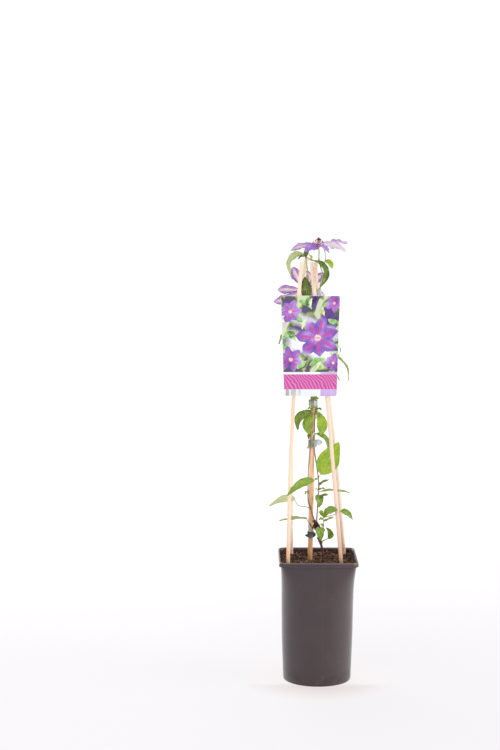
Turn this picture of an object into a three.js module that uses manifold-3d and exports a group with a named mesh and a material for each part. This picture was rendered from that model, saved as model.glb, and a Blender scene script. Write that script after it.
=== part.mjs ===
// A young clematis in a square-topped nursery pot, climbing four split-bamboo sticks and a cane.
// Millimetres, +Z up. The origin is the centre of the pot's underside, the pot's sides face X and Y.
import * as THREE from 'three';
import { mergeVertices } from 'three/addons/utils/BufferGeometryUtils.js';
import Module from 'manifold-3d';

const wasm = await Module();
wasm.setup();

// Driving dimensions
const potHeight = 216;
const potWall = 2.2;
const lipHalfWidth = 67.4;
const lipHeight = 7.8;
const bodyHalfWidth = 61.4;
const baseHalfWidth = 58.3;
const drainHoleRadius = 4;
const drainHoleCircle = 42;
const drainHoleCount = 6;
const soilLevel = 209;
const soilRelief = 1.3;
const fitGap = 0.3;
const plantTurn = 0.047;
const stickHalfWidth = 3.2;
const stickHalfDepth = 2.7;
const stickDepthInSoil = 80;
const stickFootDrift = 0.74;
const caneRadius = 4.1;
const caneTop = 640;
const caneDepthInSoil = 150;
const stemRadius = 1.15;
const stemDepthInSoil = 30;
const petioleRadius = 0.6;
const bladeThickness = 0.7;
const tapeThickness = 0.8;
const labelHeight = 168.4;
const labelTopWidth = 99.6;
const labelBottomWidth = 88.6;
const labelThickness = 0.9;
const labelCornerRadius = 4;

// Stick paths from the soil to the top end
const stickPaths = {
  stick_front_left: [[-54, -46, soilLevel], [-50.5, -37, 369], [-44.6, -28, 490], [-35.4, -14, 668], [-31, -10, 718]],
  stick_front_right: [[36.5, -46, soilLevel], [23.4, -36, 368], [10.2, -27, 489], [-9.6, -13, 666], [-15, -10, 717]],
  stick_back_left: [[-42, 43, soilLevel], [-43.4, 34, 330], [-41.6, 24, 490], [-28.4, 11, 690], [-24, 8, 722]],
  stick_back_right: [[50, 43, soilLevel], [35.6, 31, 357], [20.2, 21, 483], [-3.2, 6, 665], [-7, 2, 716]],
};
const caneFoot = [-13, 0, soilLevel];
const caneHead = [-8, 0, caneTop];

const material = (color, roughness, metalness = 0) =>
  new THREE.MeshStandardMaterial({ color, roughness, metalness });
const potMaterial = material(0x544b4b, 0.62);
const soilMaterial = material(0x3a2a22, 0.95);
const stickMaterial = material(0xf0cfae, 0.6);
const caneMaterial = material(0xcda06e, 0.55);
const tapeMaterial = material(0x969b96, 0.35);
const labelMaterial = material(0x9a5ab4, 0.4);
const vineMaterial = material(0x7ea33a, 0.5);
const sepalMaterial = material(0x9a68c8, 0.55);
const stamenMaterial = material(0x7c2438, 0.6);

// The sticks and all that they carry stand slightly turned in the pot
const group = new THREE.Group();
const plant = new THREE.Group();
plant.rotation.z = plantTurn;
group.add(plant);

const vector = (point) => new THREE.Vector3(...point);

// The lowest-level solids: closed meshes, joined and cut as manifolds
function toSolid(geometry) {
  const bare = geometry.clone();
  bare.deleteAttribute('normal');
  bare.deleteAttribute('uv');
  const merged = mergeVertices(bare, 1e-4);
  return new wasm.Manifold(new wasm.Mesh({
    numProp: 3,
    vertProperties: Float32Array.from(merged.attributes.position.array),
    triVerts: Uint32Array.from(merged.index.array),
  }));
}

function fromSolid(solid) {
  const mesh = solid.getMesh();
  const geometry = new THREE.BufferGeometry();
  geometry.setAttribute('position', new THREE.BufferAttribute(mesh.vertProperties, 3));
  geometry.setIndex(new THREE.BufferAttribute(mesh.triVerts, 1));
  geometry.computeVertexNormals();
  return geometry;
}

function join(geometries) {
  const solids = geometries.map(toSolid);
  return solids.slice(1).reduce((whole, piece) => whole.add(piece), solids[0]);
}

function addNode(name, geometry, surface, parent = plant) {
  const mesh = new THREE.Mesh(geometry, surface);
  mesh.name = name;
  parent.add(mesh);
}

function indexedGeometry(positions, triangles) {
  const geometry = new THREE.BufferGeometry();
  geometry.setAttribute('position', new THREE.Float32BufferAttribute(positions, 3));
  geometry.setIndex(triangles);
  geometry.computeVertexNormals();
  return geometry;
}

// Skins a stack of equal-sized rings and closes both ends with a fan to the ring's middle
function loft(rings) {
  const count = rings[0].length;
  const positions = rings.flat().flatMap((point) => point.toArray());
  const triangles = [];
  for (let ring = 0; ring < rings.length - 1; ring += 1) {
    for (let i = 0; i < count; i += 1) {
      const a = ring * count + i;
      const b = ring * count + (i + 1) % count;
      triangles.push(a, b, b + count, a, b + count, a + count);
    }
  }
  const ends = [{ ring: 0, forward: false }, { ring: rings.length - 1, forward: true }];
  for (const { ring, forward } of ends) {
    const middle = new THREE.Vector3();
    rings[ring].forEach((point) => middle.add(point));
    middle.divideScalar(count);
    const hub = positions.length / 3;
    positions.push(...middle.toArray());
    for (let i = 0; i < count; i += 1) {
      const a = ring * count + i;
      const b = ring * count + (i + 1) % count;
      triangles.push(hub, forward ? a : b, forward ? b : a);
    }
  }
  return indexedGeometry(positions, triangles);
}

// A square ring with round corners, level at one height
function squareRing(halfWidth, cornerRadius, z, cornerSteps = 7) {
  const points = [];
  const centre = halfWidth - cornerRadius;
  for (let corner = 0; corner < 4; corner += 1) {
    const start = corner * Math.PI / 2;
    const signX = Math.sign(Math.cos(start + Math.PI / 4));
    const signY = Math.sign(Math.sin(start + Math.PI / 4));
    for (let i = 0; i <= cornerSteps; i += 1) {
      const angle = start + i / cornerSteps * Math.PI / 2;
      points.push(new THREE.Vector3(
        signX * centre + cornerRadius * Math.cos(angle),
        signY * centre + cornerRadius * Math.sin(angle),
        z,
      ));
    }
  }
  return points;
}

// A level ring round a centre: a rounded rectangle for a split stick, a circle for a cane
function rodRing(centre, halfWidth, halfDepth, sides, squareness = 1) {
  return Array.from({ length: sides }, (_, i) => {
    const angle = (i + 0.5) / sides * 2 * Math.PI;
    const cos = Math.sign(Math.cos(angle)) * Math.abs(Math.cos(angle)) ** squareness;
    const sin = Math.sign(Math.sin(angle)) * Math.abs(Math.sin(angle)) ** squareness;
    return new THREE.Vector3(centre.x + halfWidth * cos, centre.y + halfDepth * sin, centre.z);
  });
}

// A pipe along a smooth path through the given points
function pipe(points, radius, sides = 6, stepLength = 9) {
  const path = new THREE.CatmullRomCurve3(points.map(vector), false, 'centripetal');
  const section = new THREE.Shape(Array.from({ length: sides }, (_, i) => {
    const angle = i / sides * 2 * Math.PI;
    return new THREE.Vector2(radius * Math.cos(angle), radius * Math.sin(angle));
  }));
  const steps = Math.max(2, Math.round(path.getLength() / stepLength));
  return new THREE.ExtrudeGeometry(section, { steps, extrudePath: path, bevelEnabled: false });
}

// The outline shared by leaflets and sepals: 0 at both ends, 1 at the widest place
const outline = (t, widest) => Math.sin(Math.PI * t ** (Math.log(0.5) / Math.log(widest))) ** 0.85;

// A thin blade along a bent midrib. facing is the way its upper side looks at mid length, fold
// is how far each half is raised from the midrib, and wave is the ripple of its edge.
function blade({ base, bend, tip, width, facing, fold = 18, wave = 0.8, widest = 0.42, rows = 6, columns = 2 }) {
  const midrib = new THREE.QuadraticBezierCurve3(vector(base), vector(bend), vector(tip));
  const chord = vector(tip).sub(vector(base));
  const across = chord.cross(vector(facing)).normalize();
  const lift = fold * Math.PI / 180;
  const positions = [];
  for (const side of [1, -1]) {
    for (let row = 0; row <= rows; row += 1) {
      const t = row / rows;
      const middle = midrib.getPoint(t);
      const along = midrib.getTangent(t);
      const right = across.clone().addScaledVector(along, -across.dot(along)).normalize();
      const up = right.clone().cross(along);
      const half = petioleRadius + (width / 2 - petioleRadius) * outline(t, widest);
      for (let column = 0; column <= columns; column += 1) {
        const u = column / columns * 2 - 1;
        const ripple = wave * u * u * Math.sin(t * 4 * Math.PI + u);
        const raise = half * Math.abs(u) ** 1.3 * Math.sin(lift) + ripple + side * bladeThickness / 2;
        const point = middle.clone()
          .addScaledVector(right, half * u * Math.cos(lift))
          .addScaledVector(up, raise);
        positions.push(...point.toArray());
      }
    }
  }
  const lower = (rows + 1) * (columns + 1);
  const at = (row, column) => row * (columns + 1) + column;
  const triangles = [];
  const quad = (a, b, c, d) => triangles.push(a, b, c, a, c, d);
  for (let row = 0; row < rows; row += 1) {
    for (let column = 0; column < columns; column += 1) {
      const a = at(row, column);
      const b = at(row, column + 1);
      const c = at(row + 1, column + 1);
      const d = at(row + 1, column);
      quad(a, b, c, d);
      triangles.push(lower + a, lower + c, lower + b, lower + a, lower + d, lower + c);
    }
    quad(at(row + 1, 0), lower + at(row + 1, 0), lower + at(row, 0), at(row, 0));
    quad(at(row, columns), lower + at(row, columns), lower + at(row + 1, columns), at(row + 1, columns));
  }
  for (let column = 0; column < columns; column += 1) {
    quad(at(0, column), lower + at(0, column), lower + at(0, column + 1), at(0, column + 1));
    quad(at(rows, column + 1), lower + at(rows, column + 1), lower + at(rows, column), at(rows, column));
  }
  return indexedGeometry(positions, triangles);
}

// Pot: square with round corners at the lip, drawn in to a round foot, with drain holes
function makePot() {
  const lipBottom = potHeight - lipHeight;
  const outside = [
    [baseHalfWidth - 1.2, baseHalfWidth - 1.7, 0],
    [baseHalfWidth, baseHalfWidth - 0.5, 1.6],
    [bodyHalfWidth - 2, bodyHalfWidth - 2.5, 30],
    [bodyHalfWidth - 0.8, bodyHalfWidth - 1.3, 66],
    [bodyHalfWidth, bodyHalfWidth - 0.5, 110],
    [bodyHalfWidth + 0.2, 57.5, 138],
    [bodyHalfWidth + 0.3, 47, 163],
    [bodyHalfWidth + 0.7, 31, 184],
    [bodyHalfWidth + 1.8, 17, 201],
    [bodyHalfWidth + 2.4, 12, lipBottom],
  ];
  const lip = [
    [lipHalfWidth, 13, lipBottom],
    [lipHalfWidth - 0.2, 13, potHeight - 4],
    [lipHalfWidth - 0.8, 12.6, potHeight - 1],
    [lipHalfWidth - 1.4, 12.2, potHeight],
    [lipHalfWidth - 2.8, 11.4, potHeight],
  ];
  const inside = outside.slice(1).reverse()
    .map(([half, corner, z]) => [half - potWall, corner - potWall * 0.6, z])
    .map(([half, corner, z]) => [half, Math.min(corner, half - 0.4), Math.max(z, potWall)]);
  const rings = [...outside, ...lip, ...inside].map(([half, corner, z]) => squareRing(half, corner, z));
  let pot = toSolid(loft(rings));
  for (let i = 0; i < drainHoleCount; i += 1) {
    const angle = (i + 0.5) / drainHoleCount * 2 * Math.PI;
    const drill = new THREE.CylinderGeometry(drainHoleRadius, drainHoleRadius, 4 * potWall, 16);
    drill.rotateX(Math.PI / 2);
    drill.translate(drainHoleCircle * Math.cos(angle), drainHoleCircle * Math.sin(angle), 0);
    pot = pot.subtract(toSolid(drill));
  }
  addNode('pot', fromSolid(pot), potMaterial, group);
  return inside;
}

// Soil: fills the pot to just below its lip, lumpy on top, with plain holes for what stands in it
function makeSoil(inside, standing) {
  const rimDrop = 1.5;
  const filled = inside.filter(([, , z]) => z < soilLevel - rimDrop).reverse();
  const rings = filled.map(([half, corner, z], i) =>
    squareRing(half - fitGap, corner - fitGap, i === 0 ? z + fitGap : z));
  const [topHalf, topCorner] = inside[0];
  const rimHalf = topHalf - 1.3 * fitGap;
  const rimCorner = topCorner + 1;
  for (const scale of [1, 0.94, 0.78, 0.6, 0.42, 0.22]) {
    const ring = squareRing(rimHalf * scale, Math.min(rimCorner, rimHalf * scale - 0.5), soilLevel);
    ring.forEach((point) => {
      const coarse = Math.sin(point.x * 0.11 - point.y * 0.23);
      const lumps = Math.sin(point.x * 0.31 + 1.7) * Math.cos(point.y * 0.27) + coarse;
      point.z += scale === 1 ? -rimDrop : soilRelief * lumps - 0.6;
    });
    rings.push(ring);
  }
  const turn = [0, 0, THREE.MathUtils.radToDeg(plantTurn)];
  const cut = standing.reduce((soil, hole) => soil.subtract(hole.rotate(turn)), toSolid(loft(rings)));
  addNode('soil', fromSolid(cut), soilMaterial, group);
}

// Split-bamboo sticks: slim rounded bars, slightly bowed, their feet pushed inwards in the soil
function stickGeometry(path, grow = 0) {
  const bow = new THREE.CatmullRomCurve3(path.map(vector), false, 'centripetal');
  const [x, y, z] = path[0];
  const buried = new THREE.Vector3(x * stickFootDrift, y * stickFootDrift, z - stickDepthInSoil - grow);
  const stations = [buried, ...bow.getPoints(14)];
  return loft(stations.map((centre) =>
    rodRing(centre, stickHalfWidth + grow, stickHalfDepth + grow, 8, 0.75)));
}

// The middle of a stick at one height
function stickCentre(path, z) {
  const bow = new THREE.CatmullRomCurve3(path.map(vector), false, 'centripetal');
  let [low, high] = [0, 1];
  for (let i = 0; i < 30; i += 1) {
    const middle = (low + high) / 2;
    [low, high] = bow.getPoint(middle).z < z ? [middle, high] : [low, middle];
  }
  return bow.getPoint(low);
}

// Bamboo cane: straight, with a raised joint every hand's breadth
function caneGeometry(grow = 0) {
  const foot = vector(caneFoot);
  const head = vector(caneHead);
  const lean = head.clone().sub(foot).normalize();
  const buried = foot.clone().addScaledVector(lean, -caneDepthInSoil - grow);
  const length = buried.distanceTo(head);
  const rings = [rodRing(buried, caneRadius + grow, caneRadius + grow, 12)];
  if (grow === 0) {
    for (const joint of [205, 322, 446, 563]) {
      for (const [offset, swell] of [[-2.2, 0], [-0.6, 0.35], [0.6, 0.35], [2.2, 0]]) {
        const centre = buried.clone().lerp(head, (joint + offset) / length);
        rings.push(rodRing(centre, caneRadius + swell, caneRadius + swell, 12));
      }
    }
  }
  rings.push(rodRing(head, caneRadius + grow, caneRadius + grow, 12));
  return loft(rings);
}

// Ties: bands of soft tape drawn tight round two rods, each given as its middle and inner radius
function band([x1, y1, r1], [x2, y2, r2], bottom, top) {
  const heading = Math.atan2(y2 - y1, x2 - x1);
  const spread = Math.acos((r1 - r2) / Math.hypot(x2 - x1, y2 - y1));
  const loop = (grow, shape) => {
    shape.absarc(x2, y2, r2 + grow, heading - spread, heading + spread);
    shape.absarc(x1, y1, r1 + grow, heading + spread, heading - spread + 2 * Math.PI);
    shape.closePath();
    return shape;
  };
  const ring = loop(tapeThickness, new THREE.Shape());
  ring.holes.push(loop(0, new THREE.Path()));
  const depth = top - bottom;
  const geometry = new THREE.ExtrudeGeometry(ring, { depth, bevelEnabled: false, curveSegments: 9 });
  geometry.translate(0, 0, bottom);
  return geometry;
}

const tapeEnd = (base, bend, tip, width, facing) => blade({
  base, bend, tip, width, facing, fold: 0, wave: 0.4, widest: 0.55, rows: 5, columns: 2,
});

function makeTies() {
  const lowerEnd = tapeEnd([-5, -4.2, 257.5], [-13.5, -9, 251], [-22.3, -6.6, 252.4], 6.5, [0, -1, 0.2]);
  const lowerFlap = tapeEnd([-9, -4.8, 255], [-14.6, -7.4, 259], [-15.8, -4.8, 268], 6.5, [-0.3, -1, 0]);
  const lower = [band([-12.5, 0, 4.7], [-12.3, 0, 4.7], 251.5, 258), lowerEnd, lowerFlap];
  addNode('tie_lower', fromSolid(join(lower)), tapeMaterial);
  const middleEnd = tapeEnd([-5, -4, 412], [0, -8, 413], [6.4, -8.4, 413.6], 11, [0, -1, 0.2]);
  const middle = [band([-11.6, -1.1, 5.7], [-9, -1.6, 5.6], 405, 416), middleEnd];
  addNode('tie_middle', fromSolid(join(middle)), tapeMaterial);
  addNode('tie_upper', band([-10.6, -2.7, 6.3], [-9.2, -2, 6.3], 474, 484.5), tapeMaterial);
  addNode('tie_top', band([-3.2, 6, 4.3], [0.9, 0.2, 1.9], 662.8, 671.6), tapeMaterial);
}

// Plant label: a tapered plastic card in front of two sticks, with a tongue round each of them
function makeLabel() {
  const halfTop = labelTopWidth / 2;
  const halfBottom = labelBottomWidth / 2;
  const r = labelCornerRadius;
  const card = new THREE.Shape();
  card.moveTo(-halfBottom + r, 0);
  card.lineTo(halfBottom - r, 0);
  card.quadraticCurveTo(halfBottom, 0, halfBottom + 0.15, r);
  card.lineTo(halfTop - 0.15, labelHeight - r);
  card.quadraticCurveTo(halfTop, labelHeight, halfTop - r, labelHeight);
  card.lineTo(-halfTop + r, labelHeight);
  card.quadraticCurveTo(-halfTop, labelHeight, -halfTop + 0.15, labelHeight - r);
  card.lineTo(-halfBottom - 0.15, r);
  card.quadraticCurveTo(-halfBottom, 0, -halfBottom + r, 0);
  const plate = new THREE.ExtrudeGeometry(card, { depth: labelThickness, bevelEnabled: false, curveSegments: 5 });
  const bottom = [-16.9, -31.4, 494.2];
  const leanBack = Math.atan2(11.8, labelHeight);
  plate.rotateX(Math.PI / 2 - leanBack);
  plate.translate(...bottom);
  const pieces = [plate];
  for (const path of [stickPaths.stick_front_left, stickPaths.stick_front_right]) {
    for (const height of [522, 640]) {
      const centre = stickCentre(path, height);
      const face = bottom[1] + Math.tan(leanBack) * (height - bottom[2]) - labelThickness / 2;
      const inner = stickHalfWidth + 0.9;
      const outer = inner + 0.8;
      const tongue = new THREE.Shape();
      tongue.moveTo(centre.x + outer, face);
      tongue.absarc(centre.x, centre.y, outer, 0, Math.PI, false);
      tongue.lineTo(centre.x - outer, face);
      tongue.lineTo(centre.x - inner, face);
      tongue.absarc(centre.x, centre.y, inner, Math.PI, 0, true);
      tongue.lineTo(centre.x + inner, face);
      const strap = new THREE.ExtrudeGeometry(tongue, { depth: 8, bevelEnabled: false, curveSegments: 8 });
      strap.translate(0, 0, centre.z - 4);
      pieces.push(strap);
    }
  }
  addNode('label', fromSolid(join(pieces)), labelMaterial);
}

// The right-hand stem, from the soil to the top flower
const rightStem = [
  [12, 25, soilLevel], [7, 19, 230], [5, 14, 238], [0, 9, 258], [-1.5, 5, 275], [-1, 2, 291],
  [0, 0, 317], [1, 0, 338], [0, -0.5, 352], [-4, -4, 378], [-7.3, -5.4, 400], [-7.6, -5.4, 424],
  [-7.4, -6, 442], [-6.6, -6, 461], [-6.4, -5.6, 478], [-3, -4, 519], [0, -3, 570], [1, -2, 615],
  [1.2, -0.6, 645], [1, 0, 660], [0.8, 0.4, 674], [1.6, 1, 683], [5.8, 0, 694], [1.4, -0.6, 709],
  [-1.6, -1, 722], [-1.2, 0, 734], [-2, 0, 741.4],
];
const rightShoots = [
  [[5, 14, 238], [9, 6, 250], [10, 0, 260], [9, -6, 273], [8, -12, 284]],
  [[8, -12, 283.5], [21, -16, 288], [30, -29, 294], [35.5, -39, 300]],
  [[6, 15, 236], [12, 9, 240], [18, 2, 245]],
  [[0.2, 9, 257], [2, 4, 262], [1.4, -1, 264]],
  [[1, 0, 349], [-4, -6.5, 348.5], [-9, -9.5, 348]],
  [[1, 0, 352], [2, -4, 354], [3.6, -7, 358]],
  [[-6.6, -6, 460], [-4.6, -6, 464], [-2.5, -6, 465.4]],
  [[-1, -3, 556], [8, -3, 565], [16, -2, 563]],
  [[0, -3, 570], [12, -4, 580], [26, -2, 577]],
  [[-3, -4, 519], [8, -3, 531], [18, -3, 532]],
  [[-1.6, -1, 722], [4, 0, 714], [9, 0, 719], [9, 0, 731], [7, -2, 741]],
  [[5.8, 0, 694], [7.6, -1, 695.5], [9, -2, 699]],
  [[0, -3, 560], [3, 8, 566], [6, 20, 574]],
  [[1, -2, 610], [-3.6, 8, 615], [-5, 20, 620]],
];
const rightLeaves = [
  { base: [8, -12, 284], bend: [16.5, -38, 305], tip: [28.5, -52, 303.5],
    width: 18, facing: [0, -0.85, 0.5], fold: 20, rows: 8, columns: 4 },
  { base: [8, -13, 286], bend: [3.8, -16, 297], tip: [0.2, -14, 293],
    width: 8, facing: [0, -0.9, 0.4], rows: 4 },
  { base: [35.5, -39, 299.5], bend: [45.5, -38, 300.5], tip: [56.3, -34, 284.4],
    width: 11.5, facing: [0.2, -0.85, 0.5], fold: 20 },
  { base: [8.6, -8.6, 278.5], bend: [4.4, -10.5, 284.2], tip: [1, -10, 279],
    width: 6, facing: [0, -0.6, 0.8], rows: 4 },
  { base: [9, -7, 276.5], bend: [15.5, -11, 280], tip: [27, -11, 285.2],
    width: 5, facing: [0, -0.5, 0.8], rows: 4 },
  { base: [9.5, -3, 267], bend: [6, -5, 269], tip: [4, -7, 273],
    width: 5, facing: [0, -0.8, 0.5], rows: 4 },
  { base: [1.4, -1, 264], bend: [2.6, -9, 260], tip: [5.4, -6, 242],
    width: 16, facing: [0.1, -0.9, 0.4], fold: 22, widest: 0.36, rows: 8, columns: 4 },
  { base: [18, 2, 245], bend: [29.2, -4, 255.4], tip: [13.4, -3, 265],
    width: 11.5, facing: [-0.3, -0.8, -0.3], fold: 24 },
  { base: [1, 0, 336.4], bend: [4.9, -3, 344.4], tip: [18.6, -5, 348.2],
    width: 6, facing: [0, -0.6, 0.8], rows: 4 },
  { base: [0.5, 0, 326], bend: [30, -1, 332], tip: [56, -5, 324],
    width: 8, facing: [0, -0.3, 0.95], fold: 26, rows: 4 },
  { base: [0.6, 0, 329], bend: [6, -4, 334], tip: [12, -5, 332],
    width: 6, facing: [0, -0.4, 0.9], rows: 4 },
  { base: [0, -0.5, 321], bend: [3.2, -12, 312.6], tip: [0.4, -11, 301.3],
    width: 15, facing: [0.1, -0.95, 0.2], widest: 0.3, rows: 8, columns: 4 },
  { base: [1, -3, 316], bend: [8.6, -8, 322.9], tip: [17.1, -8, 322.8],
    width: 7, facing: [0, -0.6, 0.8], rows: 4 },
  { base: [-9, -9.5, 348], bend: [-30.8, -34, 351.5], tip: [-56.7, -54, 329.7],
    width: 17.5, facing: [-0.2, -0.85, 0.5], widest: 0.36, rows: 8, columns: 4 },
  { base: [3.6, -7, 358], bend: [14, -13, 379], tip: [34.6, -3, 412],
    width: 38, facing: [0.1, -0.95, 0.25], fold: 12, wave: 1.4, widest: 0.46, rows: 8, columns: 4 },
  { base: [-7, -6, 427], bend: [17.6, -16, 427.5], tip: [14.7, -18, 399.8],
    width: 9.5, facing: [0.3, -0.85, 0.45], fold: 20 },
  { base: [-7.6, -6, 429], bend: [-11, -11, 430], tip: [-11.2, -12, 420],
    width: 6, facing: [-0.3, -0.9, 0], rows: 4 },
  { base: [-2.5, -6, 465.4], bend: [8.6, -12, 450], tip: [3.2, -10, 424.6],
    width: 18.5, facing: [0.1, -1, 0.1], fold: 10, widest: 0.58, rows: 8, columns: 4 },
  { base: [-6.6, -6, 467.3], bend: [0.5, -10, 474], tip: [4.3, -11, 467.6],
    width: 5, facing: [0, -0.6, 0.8], rows: 4 },
  { base: [-6.6, -6.2, 466], bend: [-5.6, -11, 473], tip: [-3.1, -12, 476],
    width: 5, facing: [0.3, -0.9, 0.2], rows: 4 },
  { base: [-6.6, -6.4, 465.7], bend: [-0.7, -14, 464.7], tip: [-3.2, -15, 454.6],
    width: 9, facing: [0.2, -0.9, 0.4], fold: 24 },
  { base: [0.2, -0.6, 346.5], bend: [-3.3, -4, 352.7], tip: [-6.9, -5, 346.7],
    width: 4, facing: [0, -0.6, 0.8], rows: 4 },
  { base: [0.4, -0.6, 327.6], bend: [-2.3, -4, 333], tip: [-5.2, -5, 331.8],
    width: 4, facing: [0, -0.6, 0.8], rows: 4 },
  { base: [16, -2, 563], bend: [53, 1, 550], tip: [50, 3, 517],
    width: 11, facing: [0.8, -0.1, 0.6], fold: 34 },
  { base: [26, -2, 577], bend: [41, -2, 576], tip: [32.5, -3, 559.5],
    width: 4.5, facing: [0.8, 0, 0.6], rows: 4 },
  { base: [18, -3, 532], bend: [30, -3, 529], tip: [36, -4, 515],
    width: 6, facing: [0.5, -0.3, 0.8], rows: 4 },
  { base: [9, -2, 699], bend: [10, -3, 702], tip: [8, -4, 705],
    width: 3, facing: [0.8, -0.5, 0], rows: 4 },
  { base: [6, 20, 574], bend: [10, 42, 584], tip: [2, 56, 556],
    width: 24, facing: [0.1, 0.5, 0.85], fold: 22, wave: 1.2, rows: 8, columns: 4 },
  { base: [-5, 20, 620], bend: [2, 38, 632], tip: [4, 48, 600],
    width: 20, facing: [0.1, 0.5, 0.8], fold: 24, rows: 8, columns: 4 },
  { base: [9, 0, 719.5], bend: [17.1, -8, 719.7], tip: [20.4, -10, 706.4],
    width: 8, facing: [0.3, -0.9, 0.4], fold: 14, rows: 4 },
];

// The left-hand stem, which crosses the cane and ends among the top leaves
const leftStem = [
  [14, 33, soilLevel], [9.5, 27, 228], [3, 19.5, 246], [-3.5, 8, 262], [-5.5, -2, 275], [-10, -7, 288],
  [-13, -6.8, 299], [-16.6, -4, 308], [-17.4, -1, 330], [-17, -1, 364], [-15.6, -3.4, 390],
  [-14.4, -4.4, 412], [-14, -6.6, 442], [-12.4, -7, 465], [-13.2, -6.4, 478], [-15, -4, 520],
  [-17, -2, 570], [-19, 0, 615], [-21.5, 3, 650], [-22.6, 4, 672], [-21.6, 2.4, 692], [-20.6, 0.8, 703],
  [-22, -1, 714], [-24, -2, 727],
];
const leftShoots = [
  [[-13.4, -6.6, 299.6], [-24, -5, 302], [-33, -2, 303], [-37, 0, 307], [-40, 0, 314]],
  [[-4.6, 3, 268.5], [-8, -5.8, 264.5], [-12.5, -7.4, 269], [-16.6, -5, 275], [-18.8, 0, 279],
    [-18.6, 3, 280]],
  [[-17.5, -1, 575], [-32, 2, 590], [-50, 1, 596]],
  [[-22.4, 3.6, 690], [-24, 2, 692]],
  [[-24, -2, 727], [-19, -4, 724], [-14.8, -6, 720.1]],
  [[-20, 1, 630], [-20, 10, 640], [-21, 19, 655], [-23, 21.4, 665]],
  [[-16, -3, 545], [-20, 10, 552], [-26, 22, 560]],
  [[-19, 0, 612], [-24, 12, 618], [-34, 22, 618]],
];
const leftLeaves = [
  { base: [-12.6, -7, 466], bend: [-42.2, -20, 463.5], tip: [-36.7, -22, 436.5],
    width: 15.5, facing: [-0.3, -0.9, 0.4], fold: 12, wave: 1.2, rows: 8, columns: 4 },
  { base: [-12, -8, 464], bend: [-24.8, -18, 446.6], tip: [-16.2, -13, 427.2],
    width: 18.5, facing: [-0.3, -0.95, 0.1], fold: 10, wave: 1.2, widest: 0.5, rows: 8, columns: 4 },
  { base: [-12.6, -7, 468], bend: [-15.5, -11, 474], tip: [-19.6, -12, 470.5],
    width: 5, facing: [0, -0.6, 0.8], rows: 4 },
  { base: [-12.6, -6.6, 468], bend: [-12, -10, 472], tip: [-12.5, -12, 474.5],
    width: 5, facing: [0, -0.9, 0.2], rows: 4 },
  { base: [-13.4, -6.2, 487], bend: [-8, -11, 491.5], tip: [0, -9, 489],
    width: 6, facing: [0, -0.7, 0.7], rows: 4 },
  { base: [-15, -6, 429], bend: [-18.3, -9, 427.4], tip: [-17.2, -9.4, 418],
    width: 5, facing: [-0.3, -0.9, 0.2], rows: 4 },
  { base: [-40, 0, 313.4], bend: [-61.7, -2, 319.6], tip: [-83.7, -6, 302.5],
    width: 14.5, facing: [-0.1, -0.8, 0.55], fold: 20, widest: 0.3 },
  { base: [-18.6, 3, 280], bend: [-43.6, 4, 280], tip: [-66, 3, 275.7],
    width: 12, facing: [0, -0.25, 0.97] },
  { base: [-17.4, -1, 326], bend: [-20, -3, 329], tip: [-23, -5, 323],
    width: 5, facing: [0, -0.5, 0.85], rows: 4 },
  { base: [-50, 1, 596], bend: [-62, 0, 597], tip: [-68, -2, 579],
    width: 12, facing: [-0.6, -0.3, 0.8], fold: 26 },
  { base: [-24, 2, 692], bend: [-22.3, -3, 674], tip: [-16.3, -4, 647.3],
    width: 19, facing: [0.1, -0.95, 0.25], fold: 10, widest: 0.5, rows: 8, columns: 4 },
  { base: [-26, 22, 560], bend: [-30, 40, 573], tip: [-37, 53, 546],
    width: 25, facing: [-0.4, 0.4, 0.85], fold: 22, wave: 1.2, rows: 8, columns: 4 },
  { base: [-34, 22, 618], bend: [-48, 34, 626], tip: [-52, 36, 596],
    width: 18, facing: [-0.5, 0.3, 0.8], fold: 24, rows: 8, columns: 4 },
  { base: [-25, -4, 728], bend: [-60.5, -18, 735], tip: [-47.5, -22, 689.5],
    width: 17, facing: [-0.5, 0.75, 0.45], fold: 30, wave: 1, rows: 8, columns: 4 },
  { base: [-24.8, -2.8, 726.3], bend: [-31.2, -12, 729.3], tip: [-37.5, -14, 723.2],
    width: 6, facing: [-0.2, -0.5, 0.9], rows: 4 },
  { base: [-24, -3, 726.5], bend: [-24.4, -5, 735], tip: [-18, -5, 739.6],
    width: 9, facing: [-0.2, -1, 0], fold: 24 },
  { base: [-14.8, -6, 720.1], bend: [-13.3, -8, 727.2], tip: [-18.5, -8, 729.8],
    width: 4, facing: [0.3, -0.9, 0.1], rows: 4 },
  { base: [-14.8, -6, 720.1], bend: [24.4, -22, 712], tip: [-3.4, -24, 673.4],
    width: 15, facing: [0.45, -0.6, 0.65], fold: 22, wave: 1.2, rows: 8, columns: 4 },
];

// The dead woody knot low on the left-hand stem
const knot = [[-4, 6, 265], [-4.8, 2, 270], [-6, -2.6, 275.5]];

function makeVine(name, stem, shoots, leaves, extra = []) {
  const [foot, next] = stem;
  const down = vector(foot).sub(vector(next)).normalize();
  const root = vector(foot).addScaledVector(down, stemDepthInSoil).toArray();
  const pieces = [pipe([root, ...stem], stemRadius, 6, 11)];
  shoots.forEach((points) => pieces.push(pipe(points, petioleRadius, 5, 9)));
  leaves.forEach((leaf) => pieces.push(blade(leaf)));
  addNode(name, fromSolid(join([...pieces, ...extra])), vineMaterial);
  return toSolid(pipe([root, foot, next], stemRadius + 0.5, 8, 11));
}

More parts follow.
